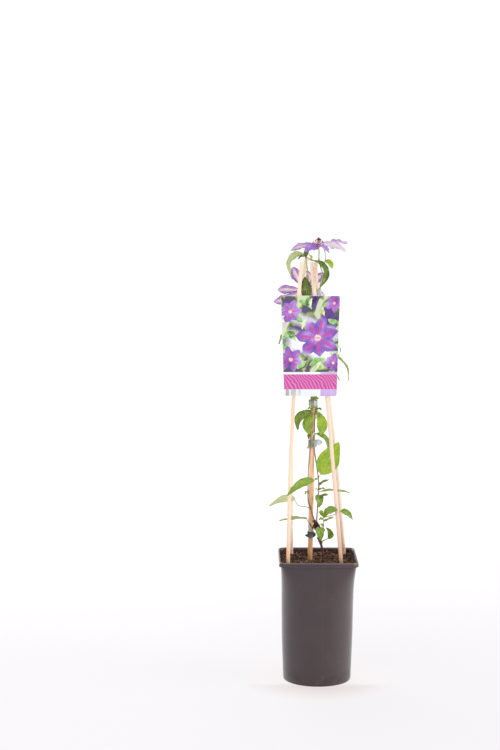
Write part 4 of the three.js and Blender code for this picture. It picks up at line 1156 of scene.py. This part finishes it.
knot = {
    "path": [(-2.6, 8, 260.5), (-3.8, 4, 266), (-4.8, 0, 271.5), (-6.4, -3, 277.5)], "radius": 3.0,
    "thread": [(4.8, 13, 237), (0, 9, 238), (-5.6, 6, 242)],
    "twig": [(-8, -6.6, 262), (-11.4, -7.4, 268), (-15.4, -6, 273.4)],
    # middle, half sizes, seed
    "lumps": [
        ((1.6, 3, 267.4), (1.7, 1.6, 1.9), 1.1), ((3.4, 4, 263.0), (2.1, 1.8, 2.2), 2.3),
        ((-6.8, 1, 266), (2.4, 1.8, 3.2), 3.7), ((11, 4, 259), (1.7, 1.5, 2.2), 4.9),
        ((-1, 2, 270), (2.6, 2, 3.4), 5.3), ((1.8, 3, 267), (2.2, 1.8, 2.8), 9.1),
    ],
    "red": [
        ((4.8, 13.2, 239.6), (3.1, 2.6, 3.0), 6.1), ((6.6, 15, 234.6), (2.7, 2.4, 3.6), 7.7),
        ((1.6, 11, 244), (1.6, 1.5, 2.6), 8.3),
    ],
}


def barkLump(middle, sizes, seed):
    calm()
    bpy.ops.mesh.primitive_ico_sphere_add(subdivisions=4, radius=1)
    lump = fresh("barkLump")
    for vertex in lump.data.vertices:
        broad = noise.noise(vertex.co * 1.6 + Vector((seed, 0, 0)))
        fine = noise.noise(vertex.co * 5 + Vector((0, seed, 0)))
        swell = 1 + 0.3 * broad + 0.16 * fine
        vertex.co = Vector((middle[i] + vertex.co[i] * sizes[i] * swell for i in range(3))) * mm
    smooth(lump, 50)
    return lump


def makeKnot():  # the dead woody stub low on the stem, with ragged bark
    stub = growTube("woodyKnot", knot["path"], knot["radius"], 0.8, resolution=5, perSpan=10)
    for vertex in stub.data.vertices:
        push = noise.noise(vertex.co * 420) * 1.1 + noise.noise(vertex.co * 1400) * 0.4
        vertex.co += Vector((vertex.co.x + 0.0044, vertex.co.y - 0.002, 0)).normalized() * push * mm
    thread = growTube("driedThread", knot["thread"], 0.34, 0.5, resolution=1)
    twig = growTube("twigStub", knot["twig"], 0.75, 0.7)
    whole = joinAll([stub, thread, twig] + [barkLump(*lump) for lump in knot["lumps"]], "woodyKnot")
    handOver(whole, ["vine_left"], "vine", [paints["wood"]])
    red = joinAll([barkLump(*lump) for lump in knot["red"]], "redKnot")
    handOver(red, ["vine_right"], "vine", [paints["redWood"]])


# foot, tip, half thickness, finish
buds = [
    ((-3.2, -9.4, 469), (-1.6, -11.4, 464), 1.7, "bud"),
    ((-17, -7.6, 407), (-19, -8.6, 402), 1.8, "budRusty"),
    ((-15.6, -3.4, 724), (-19.4, -5.6, 720.6), 2.0, "bud"),
    ((7, 14.6, 236), (15.6, 8, 242.4), 0.9, "lime"),
    ((-8.6, -10.4, 430.4), (-10.8, -11.8, 424), 1.7, "bud"),
    ((-10.4, -9.6, 427), (-11.8, -11.4, 418.6), 1.5, "lime"),
    ((-7.2, -8.4, 458.6), (-3.2, -11, 452.4), 1.0, "lime"),
    ((1.6, 0.6, 694), (7.4, -0.4, 694.6), 0.9, "wood"),
]
tendril = [(-6.6, -7, 434), (-1.5, -10, 431.4), (7, -17, 432.2), (14.6, -27, 433)]


def budProfile(share):
    return max(math.sin(math.pi * (0.12 + 0.86 * share)) ** 0.7, 0.12)


def makeBuds():
    for i, (foot, tip, half, finish) in enumerate(buds):
        foot, tip = Vector(foot), Vector(tip)
        along = (tip - foot) / 4
        points = [foot, foot + along, foot + along * 2 + Vector((0, 0, 0.3)), foot + along * 3, tip]
        bud = growTube(f"bud{i}", points, half, resolution=3, perSpan=5, profile=budProfile)
        for vertex in bud.data.vertices:
            vertex.co += Vector((0, 0, 1)) * noise.noise(vertex.co * 900) * 0.4 * mm
        handOver(bud, [], "vine", [paints[finish]])
    thread = growTube("driedTendril", tendril, 0.22, 0.8, resolution=1)
    handOver(thread, [], "vine", [paints["bud"]])


makeStems()
makeKnot()
makeBuds()
print("stems made")


blooms = {  # each sepal: bend, tip, the way its upper side looks, width, tint, widest place
    "top": {
        "centre": (-2, 0, 744), "axis": (0, 0, 1), "nodes": "top_bloom",
        "sepals": [
            ((-28, -4, 748), (-50, -10, 737), (-0.1, 0.8, 0.55), 13.5, 0.55, 0.55),
            ((-14, -14, 744), (-28, -27, 736.5), (0.1, -0.75, 0.65), 17, 0.66, 0.42),
            ((4, -16, 746), (13, -32, 734), (0, -0.2, 0.98), 11, 0.45, 0.5),
            ((22, -8, 751), (42, -15, 736), (0.1, 0.75, 0.65), 17, 0.2, 0.5),
            ((24, 8, 752), (48, 13, 748.5), (0, 0.4, 0.9), 17, 0.4, 0.52),
            ((10, 20, 751), (19, 38, 743), (0.1, 0.1, 1), 17, 0.45, 0.48),
            ((-8, 22, 749), (-12, 42, 738), (0, 0.1, 1), 17, 0.5, 0.48),
            ((-22, 16, 750), (-40, 27, 738), (-0.1, 0.2, 1), 17, 0.5, 0.48),
        ],
    },
    "side": {
        "centre": (-24, 25, 669), "axis": (-0.25, 0.92, 0.3), "nodes": "side_bloom",
        "sepals": [
            ((-39, 21, 691.4), (-43, 24, 708), (-0.2, 0.9, 0.2), 18, 0.84, 0.7),
            ((-54.5, 21, 670.5), (-68.5, 25, 669), (-0.2, 0.9, 0.2), 16, 0.7, 0.62),
            ((-56.6, 21, 650), (-76, 25, 649), (-0.2, 0.9, 0.2), 17, 0.66, 0.58),
            ((-42, 22, 645), (-46, 28, 624), (-0.1, 0.95, 0), 18, 0.64, 0.48),
            ((-14, 23, 648), (-8, 30, 627), (0.1, 0.95, 0), 18, 0.64, 0.48),
            ((-4, 24, 664), (12, 30, 659), (0.2, 0.9, 0.1), 17, 0.5, 0.5),
            ((-5, 23, 686), (10, 30, 698), (0.1, 0.9, 0.2), 17, 1.2, 0.58),
            ((-8, 22, 690), (-19.9, 30, 701.4), (0, 0.9, 0.3), 13, 1.8, 0.5),
        ],
    },
}
tuft = {
    "seed": 4, "stamens": 44, "length": 11.5, "goldenAngle": 2.39996,
    # radii in millimetres, and what the outermost anthers lose
    "filament": 0.3, "anther": 0.68, "antherThins": 0.3,
}


def makeSepals(name, seed):
    parts = blooms[name]
    model = sheetModel("sepalModel", 20, 44)
    blades = []
    for i, (bend, tip, facing, width, tint, widest) in enumerate(parts["sepals"]):
        blades.append(bendBlade(
            model, f"{name}Sepal{i}", parts["centre"], bend, tip, width, facing, fold=16, wave=1.3,
            widest=widest, tint=tint, ripple=1.3, ripples=4, seed=seed + i * 2.1))
    bpy.data.objects.remove(model)
    nodeNames = [parts["nodes"] + "_sepals"]
    finishBlades(blades, name + "Sepals", 0.55, nodeNames, "sepal", paints["sepalUpper"],
                 paints["sepalUnder"])


def makeCup(name):  # the green seat under the sepals
    parts = blooms[name]
    centre = Vector(parts["centre"]) * mm
    turn = Vector((0, 0, 1)).rotation_difference(Vector(parts["axis"]))
    calm()
    bpy.ops.mesh.primitive_cone_add(vertices=20, radius1=0.0018, radius2=0.0034, depth=0.0042)
    cup = fresh(name + "Receptacle")
    bpy.ops.object.mode_set(mode="EDIT")
    bpy.ops.mesh.select_all(action="SELECT")
    bpy.ops.mesh.bevel(offset=0.0006, segments=3)
    bpy.ops.object.mode_set(mode="OBJECT")
    cup.data.transform(Matrix.Translation(centre) @ turn.to_matrix().to_4x4())
    smooth(cup, 40)
    handOver(cup, [parts["nodes"] + "_sepals"], "sepal", [paints["petiole"]])


def makeTuft(name, seed):  # the stamens, spread out from the middle
    parts = blooms[name]
    centre = Vector(parts["centre"])
    turn = Vector((0, 0, 1)).rotation_difference(Vector(parts["axis"]))
    pool = random.Random(tuft["seed"] + seed)
    filaments, anthers = [], []
    for i in range(tuft["stamens"]):
        angle = i * tuft["goldenAngle"] + pool.uniform(-0.2, 0.2)
        share = (i + 0.5) / tuft["stamens"]
        spread = (1 + 10 * share * share) * pool.uniform(0.8, 1.15)
        reach = tuft["length"] * (1.08 - 0.5 * share * share) * pool.uniform(0.9, 1.1)
        root = 0.5 + 1.6 * share
        out = Vector((math.cos(angle), math.sin(angle), 0))
        outward = (root, root + (spread - root) * 0.45, spread * 0.92, spread)
        upward = (1.6, reach * 0.45 + 1, reach * 0.8 + 1, reach + 1)
        points = [centre + turn @ (out * far + Vector((0, 0, high))) for far, high in zip(outward, upward)]
        radius = tuft["anther"] - tuft["antherThins"] * share
        filaments.append(growTube("filament", points[:3], tuft["filament"], 0.8, resolution=0, perSpan=4))
        anthers.append(growTube("anther", points[2:], radius, 0.75, resolution=1, perSpan=5))
    for pieces, label, paint in ((filaments, "Filaments", "filament"), (anthers, "Anthers", "anther")):
        whole = joinAll(pieces, name + label)
        handOver(whole, [parts["nodes"] + "_stamens"], "stamen", [paints[paint]])


for bloomName, bloomSeed in (("top", 1.0), ("side", 5.0)):
    makeSepals(bloomName, bloomSeed)
    makeCup(bloomName)
    makeTuft(bloomName, bloomSeed)
print("blooms made")


ties = {
    "wall": 0.8, "crinkle": 0.28, "skew": 0.3, "edgeUneven": 0.4,
    "bands": {  # the place and radius of what each band goes round at its two ends, foot, head, finish
        "tie_lower": ((-12.5, 0, 4.7), (-12.3, 0, 4.7), 251.5, 258, "tapeDark"),
        "tie_middle": ((-11.6, -1.1, 5.7), (-9, -1.6, 5.6), 405, 416, "tape"),
        "tie_upper": ((-10.6, -2.7, 6.3), (-9.2, -2, 6.3), 474, 484.5, "tape"),
        "tie_top": ((-3.2, 6, 4.3), (0.9, 0.2, 1.9), 662.8, 671.6, "tapePale"),
    },
    "ends": {  # base, bend, tip, width, the way it faces, finish
        "tie_lower": [((-4, -4.2, 254.5), (-13, -9, 251), (-22.3, -6.6, 252.4), 9, (0, -1, 0.2),
                       "tapeDark"),
                      ((-12, -5.4, 260.5), (-15.6, -6.5, 264), (-16.4, -4.8, 270.5), 4.5, (-0.3, -1, 0),
                       "tapePale")],
        "tie_middle": [((-5, -4, 412), (0, -8, 413), (6.4, -8.4, 413.6), 11, (0, -1, 0.2), "tapePale")],
    },
}


def makeTie(name, seed):
    (x1, y1, r1), (x2, y2, r2), low, high, bandFinish = ties["bands"][name]
    heading = math.atan2(y2 - y1, x2 - x1)
    spread = math.acos((r1 - r2) / math.hypot(x2 - x1, y2 - y1))
    calm()
    bpy.ops.mesh.primitive_cylinder_add(vertices=56, radius=1, depth=1, end_fill_type="NOTHING")
    band = fresh(name)
    bpy.ops.object.mode_set(mode="EDIT")
    cutAcross(band, 7)
    bpy.ops.object.mode_set(mode="OBJECT")
    half = ties["wall"] / 2
    for vertex in band.data.vertices:
        angle = math.atan2(vertex.co.y, vertex.co.x)
        away = (angle - heading + math.pi) % (2 * math.pi) - math.pi
        cx, cy, r = (x2, y2, r2) if abs(away) < spread else (x1, y1, r1)
        rise = vertex.co.z + 0.5
        cos, sin = math.cos(angle), math.sin(angle)
        crinkle = ties["crinkle"] * noise.noise(Vector((cos * 2.2, sin * 2.2, rise * 2 + seed)))
        skew = ties["skew"] * math.sin(angle + seed) * (0.4 + rise)
        edge = ties["edgeUneven"] * noise.noise(Vector((cos * 1.6 + seed, sin * 1.6, 4.0)))
        apart = r + half + max(crinkle, 0)
        z = low + rise * (high - low) + skew + edge
        vertex.co = Vector((cx + apart * cos, cy + apart * sin, z)) * mm
    pieces = [(band, bandFinish)]
    model = sheetModel("tapeModel", 8, 14)
    for base, bend, tip, width, facing, finish in ties["ends"].get(name, []):
        end = bendBlade(model, "tapeEnd", base, bend, tip, width, facing, fold=6, wave=0.5, widest=0.36,
                        ripple=0.8, ripples=2, seed=seed)
        pieces.append((end, finish))
    bpy.data.objects.remove(model)
    for i, (piece, finish) in enumerate(pieces):
        pieceName = "tape" + name.split("_")[1].title() + (f"End{i}" if i else "")
        piece.name = piece.data.name = pieceName
        useModifier(piece, "SOLIDIFY", thickness=0.0006, offset=0)
        smooth(piece, 50)
        handOver(piece, [name], "tape", [paints[finish]])


for i, tieName in enumerate(ties["bands"]):
    makeTie(tieName, 2.7 * i)
print("ties made")


card = {
    "bottom": (-16.9, -31.4, 494.2), "height": 168.4, "topWidth": 99.6, "bottomWidth": 88.6,
    "thickness": 0.9,
    "corner": 4, "leanBack": 11.8,
    "sleeves": (522, 640), "sleeveRadius": 4.5, "sleeveLength": 8,
}


def cardPoint(x, h, proud=0.0):  # a place on the label's face, in millimetres across and up from its foot
    lean = math.atan2(card["leanBack"], card["height"])
    face = card["thickness"] + proud
    return Vector((card["bottom"][0] + x, card["bottom"][1] + h * math.sin(lean) - face * math.cos(lean),
                   card["bottom"][2] + h * math.cos(lean) + face * math.sin(lean))) * mm


def cardHalf(h):
    return (card["bottomWidth"] + (card["topWidth"] - card["bottomWidth"]) * h / card["height"]) / 2


def newInk(name):
    return newPaint(name, 0.38, Specular_IOR_Level=0.45, Coat_Weight=0.2, Coat_Roughness=0.2)


def inkPaint(name, colours, scale):
    paint, shader = newInk(name)
    tone = cloud(paint, coordinates(paint), scale, 4, distortion=0.6)
    places = [0.32 + 0.36 * i / (len(colours) - 1) for i in range(len(colours))]
    return finishPaint(paint, shader, ramp(paint, tone, list(zip(places, colours)), True))


def groundInk():  # blurred foliage with a pale haze drifting across its lower part
    paint, shader = newInk("inkGround")
    here = coordinates(paint)
    tone = cloud(paint, here, 38, 4, distortion=0.6)
    colour = ramp(paint, tone, [
        (0.32, (52, 28, 88)), (0.42, (94, 54, 138)), (0.48, (68, 88, 46)), (0.54, (140, 152, 98)),
        (0.6, (202, 214, 164)), (0.7, (208, 190, 226))], True)
    axes = alongAxes(paint, here)
    slope = plus(paint, axes[2], times(paint, axes[0], 0.35))
    slope = plus(paint, slope, times(paint, cloud(paint, here, 20, 2), 0.03))
    off = absolute(paint, minus(paint, slope, 0.585))
    aside = absolute(paint, plus(paint, axes[0], 0.0155))
    inward = level(paint, aside, 0.026, 0.044, 1, 0.15)  # the haze thins towards the card's edges
    haze = times(paint, level(paint, off, 0.008, 0.024, 0.95, 0), inward)
    colour = blend(paint, haze, colour, (250, 248, 252))
    high = absolute(paint, minus(paint, slope, 0.624))
    colour = blend(paint, level(paint, high, 0.004, 0.016, 0.75, 0), colour, (226, 220, 240))
    return finishPaint(paint, shader, colour)


def petalInk():
    paint, shader = newInk("inkPetal")
    uv, u, v = splitUv(paint)
    aside = fromMidrib(paint, u)
    fibres = cloud(paint, uv, 30, 3, (1, 0.08, 1))
    broad = cloud(paint, coordinates(paint), 46, 2)
    edge = unevenBy(paint, aside, fibres, 0.4)
    tone = weighed(paint, fibres, 0.6, v, 0.15)
    tone = unevenBy(paint, tone, broad, 1.1)
    colour = ramp(paint, tone, [
        (0.15, (96, 50, 148)), (0.4, (142, 100, 190)), (0.6, (186, 154, 220)), (0.8, (236, 222, 246))])
    bar = times(paint, level(paint, edge, 0.08, 0.32, 1, 0), level(paint, v, 0.6, 0.95, 0.85, 0))
    colour = blend(paint, bar, colour, (206, 60, 140))
    colour = blend(paint, level(paint, edge, 0.75, 1.0, 0, 0.3), colour, (104, 60, 154))
    return finishPaint(paint, shader, colour)


def bandInk():
    paint, shader = newInk("inkBand")
    here = coordinates(paint)
    turned = addNode(paint, "ShaderNodeMapping", {"Vector": here, "Rotation": (0, 0.6, 0)}).outputs[0]
    waves = addNode(paint, "ShaderNodeTexWave", {
        "Vector": turned, "Scale": 66.0, "Distortion": 9.0, "Detail": 1.5, "Detail Scale": 0.7},
        bands_direction="X").outputs["Fac"]
    stops = [(0.3, (194, 74, 150)), (0.84, (206, 102, 170)), (1.0, (224, 146, 198))]
    colour = ramp(paint, waves, stops, True)
    return finishPaint(paint, shader, colour)


def layOnCard(piece, proud):  # moves a flat drawing in millimetres onto the label and trims it there
    inset = 0.4
    slope = (card["topWidth"] - card["bottomWidth"]) / 2 / card["height"]
    pick(piece)
    bpy.ops.object.mode_set(mode="EDIT")
    foot, head = card["bottomWidth"] / 2, card["topWidth"] / 2
    planes = [((0, inset, 0), (0, -1, 0)), ((0, card["height"] - inset, 0), (0, 1, 0)),
              ((foot - inset, 0, 0), (1, -slope, 0)), ((inset - foot, 0, 0), (-1, -slope, 0))]
    r = card["corner"]
    for side in (-1, 1):  # three flats round each corner of the card
        for up, width in ((-1, foot), (1, head)):
            middle = Vector((side * (width - r), r if up < 0 else card["height"] - r, 0))
            for degrees in (22.5, 45, 67.5):
                turn = math.radians(degrees)
                normal = Vector((side * math.cos(turn), up * math.sin(turn), 0))
                planes.append((middle + normal * (r - inset), normal))
    for place, normal in planes:
        bpy.ops.mesh.select_all(action="SELECT")
        bpy.ops.mesh.bisect(plane_co=place, plane_no=normal, clear_outer=True)
    bpy.ops.object.mode_set(mode="OBJECT")
    for vertex in piece.data.vertices:
        vertex.co = cardPoint(vertex.co.x, vertex.co.y, proud + vertex.co.z)


def flatPanel(name, left, right, low, high, paint, proud):
    calm()
    bpy.ops.mesh.primitive_grid_add(x_subdivisions=8, y_subdivisions=8, size=1)
    panel = fresh(name)
    for vertex in panel.data.vertices:
        s, h = vertex.co.x + 0.5, low + (vertex.co.y + 0.5) * (high - low)
        a = left if left is not None else -cardHalf(h)
        b = right if right is not None else cardHalf(h)
        vertex.co = Vector((a + s * (b - a), h, 0))
    layOnCard(panel, proud)
    useModifier(panel, "SOLIDIFY", thickness=0.00012, offset=0)
    handOver(panel, ["label"], "label", [paint])


def flatPetal(model, middle, angle, length, width, sway, name):
    petal = copyOf(model, name)
    for vertex in petal.data.vertices:
        u, t = vertex.co.x, vertex.co.y
        half = width / 2 * max(outlineAt(t, 0.52), 0.03)
        along = t * length
        side = u * half + sway * math.sin(t * math.pi)
        side += 0.05 * width * math.sin(t * 14 + angle) * abs(u) * u
        vertex.co = Vector((middle[0] + along * math.cos(angle) - side * math.sin(angle),
                            middle[1] + along * math.sin(angle) + side * math.cos(angle), 0))
    return petal


inks = {
    "ground": groundInk(),
    "leaf": inkPaint("inkLeaf", [(90, 140, 78), (146, 194, 118), (206, 226, 170)], 90),
    "cream": inkPaint("inkCream", [(170, 190, 120), (226, 226, 178), (244, 240, 220)], 120),
    "eye": inkPaint("inkEye", [(240, 226, 206), (214, 150, 170)], 300),
    "lilac": inkPaint("inkLilac", [(186, 156, 210), (212, 188, 230)], 40),
    "beige": inkPaint("inkBeige", [(158, 148, 134), (186, 178, 164)], 120),
    "grey": inkPaint("inkGrey", [(184, 178, 174), (208, 204, 202)], 120),
    "paleGrey": inkPaint("inkPaleGrey", [(206, 204, 204), (222, 222, 226)], 120),
    "petal": petalInk(),
    "band": bandInk(),
}
printed = {
    # left and right (None is the card's own edge), foot, head, ink, height above the card
    "panels": {
        "printGround": (None, None, 41, 168, "ground", 0.08),
        "printBand": (None, None, 12, 37, "band", 0.08),
        "printTab": (17, None, 0.4, 12, "lilac", 0.14),
        "printTabTop": (17, None, 37.4, 40.6, "lilac", 0.08),
        "printBar0": (-41, -36, 1.5, 11.4, "beige", 0.14),
        "printBar1": (-32.6, -24.2, 1.5, 11.4, "grey", 0.14),
        "printBar2": (-20.7, -15.7, 1.5, 11.4, "paleGrey", 0.14),
    },
    # middle across and up, petal length, petal width, petals, turn, height above the card
    "blooms": [
        ((12, 98), 40, 21, 7, 0.35, 0.26), ((-34, 142), 22, 13, 6, 0.1, 0.22),
        ((-33, 62), 24, 13, 6, 0.8, 0.20), ((38, 56), 17, 10, 6, 0.3, 0.18),
        ((40, 156), 18, 11, 6, 0.5, 0.2),
    ],
    # middle across and up, turn, length, width
    "leaves": [
        ((-6, 60), 3.6, 26, 11), ((-2, 52), 0.4, 28, 12), ((-46, 100), 0.2, 26, 12),
        ((-40, 112), -0.9, 24, 10), ((20, 150), 0.3, 24, 10), ((2, 146), 1.9, 22, 9),
        ((46, 90), 4.2, 22, 10), ((-12, 124), 2.4, 20, 9), ((48, 124), 2.9, 20, 9),
        ((-48, 76), 0.9, 20, 9), ((24, 46), 2.7, 18, 8), ((-20, 160), 5.9, 20, 9),
    ],
    "buds": [
        ((-14, 112), 1.2, 19, 6), ((24, 134), 1.8, 17, 6), ((8, 44), 1.0, 17, 6),
        ((-20, 46), 2.0, 15, 5), ((0, 150), 1.4, 15, 5), ((44, 104), 1.3, 16, 5),
        ((-44, 122), 1.9, 15, 5),
    ],
}


def makeSprigs(model):  # leaves and buds strewn over the picture
    for kind, ink, proud in (("leaves", "leaf", 0.14), ("buds", "cream", 0.17)):
        shapes = [flatPetal(model, middle, turn, length, width, 1.5, "printShape")
                  for middle, turn, length, width in printed[kind]]
        whole = joinAll(shapes, "print" + kind.title())
        layOnCard(whole, proud)
        useModifier(whole, "SOLIDIFY", thickness=0.0001, offset=0)
        handOver(whole, ["label"], "label", [inks[ink]])


def makePrintedBloom(model, name, middle, length, width, count, turn, proud):
    pieces = []
    for i in range(count):
        angle = turn + i / count * 2 * math.pi
        reach = length * (0.9 + 0.1 * math.sin(i * 2.3))
        petal = flatPetal(model, middle, angle, reach, width, 0.8 * math.sin(i * 1.9), "printPetal")
        for vertex in petal.data.vertices:
            vertex.co.z = 0.02 * i  # each petal lies over the one before
        pieces.append(petal)
    whole = joinAll(pieces, name)
    layOnCard(whole, proud)
    useModifier(whole, "SOLIDIFY", thickness=0.00001, offset=0)
    handOver(whole, ["label"], "label", [inks["petal"]])


def makePrintedEye(name, middle, length, proud):
    calm()
    bpy.ops.mesh.primitive_circle_add(vertices=18, radius=length * 0.13, fill_type="NGON")
    eye = fresh(name)
    bpy.ops.object.mode_set(mode="EDIT")
    bpy.ops.mesh.select_all(action="SELECT")
    bpy.ops.mesh.inset(thickness=length * 0.05, depth=0)
    bpy.ops.object.mode_set(mode="OBJECT")
    for i, vertex in enumerate(eye.data.vertices):
        grow = 1 + 0.2 * (i % 2)
        vertex.co = Vector((vertex.co.x * grow + middle[0], vertex.co.y * grow + middle[1], 0))
    layOnCard(eye, proud)
    useModifier(eye, "SOLIDIFY", thickness=0.00005, offset=0)
    handOver(eye, ["label"], "label", [inks["eye"]])


def makePrint():
    for name, (left, right, low, high, ink, proud) in printed["panels"].items():
        flatPanel(name, left, right, low, high, inks[ink], proud)
    model = sheetModel("petalModel", 8, 16)
    for vertex in model.data.vertices:
        vertex.co.z = 0
    makeSprigs(model)
    for n, (middle, length, width, count, turn, proud) in enumerate(printed["blooms"]):
        makePrintedBloom(model, f"printBloom{n}", middle, length, width, count, turn, proud)
        makePrintedEye(f"printEye{n}", middle, length, proud + 0.2)
    bpy.data.objects.remove(model)


def makeSleeve(name, height):  # slides over a front stick and holds the card
    path = smoothPath(sticks["paths"][name], 16)
    middle = min(path, key=lambda place: abs(place.z - height * mm)) / mm
    radius = card["sleeveRadius"]
    calm()
    bpy.ops.mesh.primitive_cylinder_add(vertices=40, radius=1, depth=1, end_fill_type="NOTHING")
    sleeve = fresh("labelSleeve")
    bpy.ops.object.mode_set(mode="EDIT")
    bpy.ops.mesh.subdivide(number_cuts=1)
    bpy.ops.object.mode_set(mode="OBJECT")
    for vertex in sleeve.data.vertices:
        z = height + vertex.co.z * card["sleeveLength"]
        angle = math.atan2(vertex.co.y, vertex.co.x)
        x, y = radius * math.cos(angle), radius * math.sin(angle)
        if y < 0:  # the front leg lies inside the card, along its lean
            face = card["bottom"][1] + card["leanBack"] / card["height"] * (z - card["bottom"][2]) - 0.42
            x = radius * math.copysign(min(abs(math.cos(angle)) * 1.5, 1), math.cos(angle))
            y = (face - middle.y) * min(1, -math.sin(angle) * 1.5)
        vertex.co = Vector((middle.x + x, middle.y + y, z)) * mm
    useModifier(sleeve, "SOLIDIFY", thickness=0.0007, offset=0)
    return sleeve


def makeCard():
    calm()
    bpy.ops.mesh.primitive_plane_add(size=1)
    plate = fresh("labelCard")
    for vertex in plate.data.vertices:
        h = card["height"] if vertex.co.y > 0 else 0
        vertex.co = Vector((math.copysign(cardHalf(h), vertex.co.x), h, 0))
    pick(plate)
    bpy.ops.object.mode_set(mode="EDIT")
    bpy.ops.mesh.select_all(action="SELECT")
    bpy.ops.mesh.bevel(offset=card["corner"], segments=8, affect="VERTICES")
    bpy.ops.object.mode_set(mode="OBJECT")
    for vertex in plate.data.vertices:
        vertex.co = cardPoint(vertex.co.x, vertex.co.y, 0)
    useModifier(plate, "SOLIDIFY", thickness=card["thickness"] * mm, offset=-1)
    useModifier(plate, "BEVEL", width=0.00012, segments=2, limit_method="ANGLE")
    pieces = [plate]
    for name in ("stick_front_left", "stick_front_right"):
        pieces += [makeSleeve(name, height) for height in card["sleeves"]]
    whole = joinAll(pieces, "labelCard")
    smooth(whole, 35)
    handOver(whole, ["label"], "label", [paints["card"]])


makeCard()
makePrint()
print("label made")
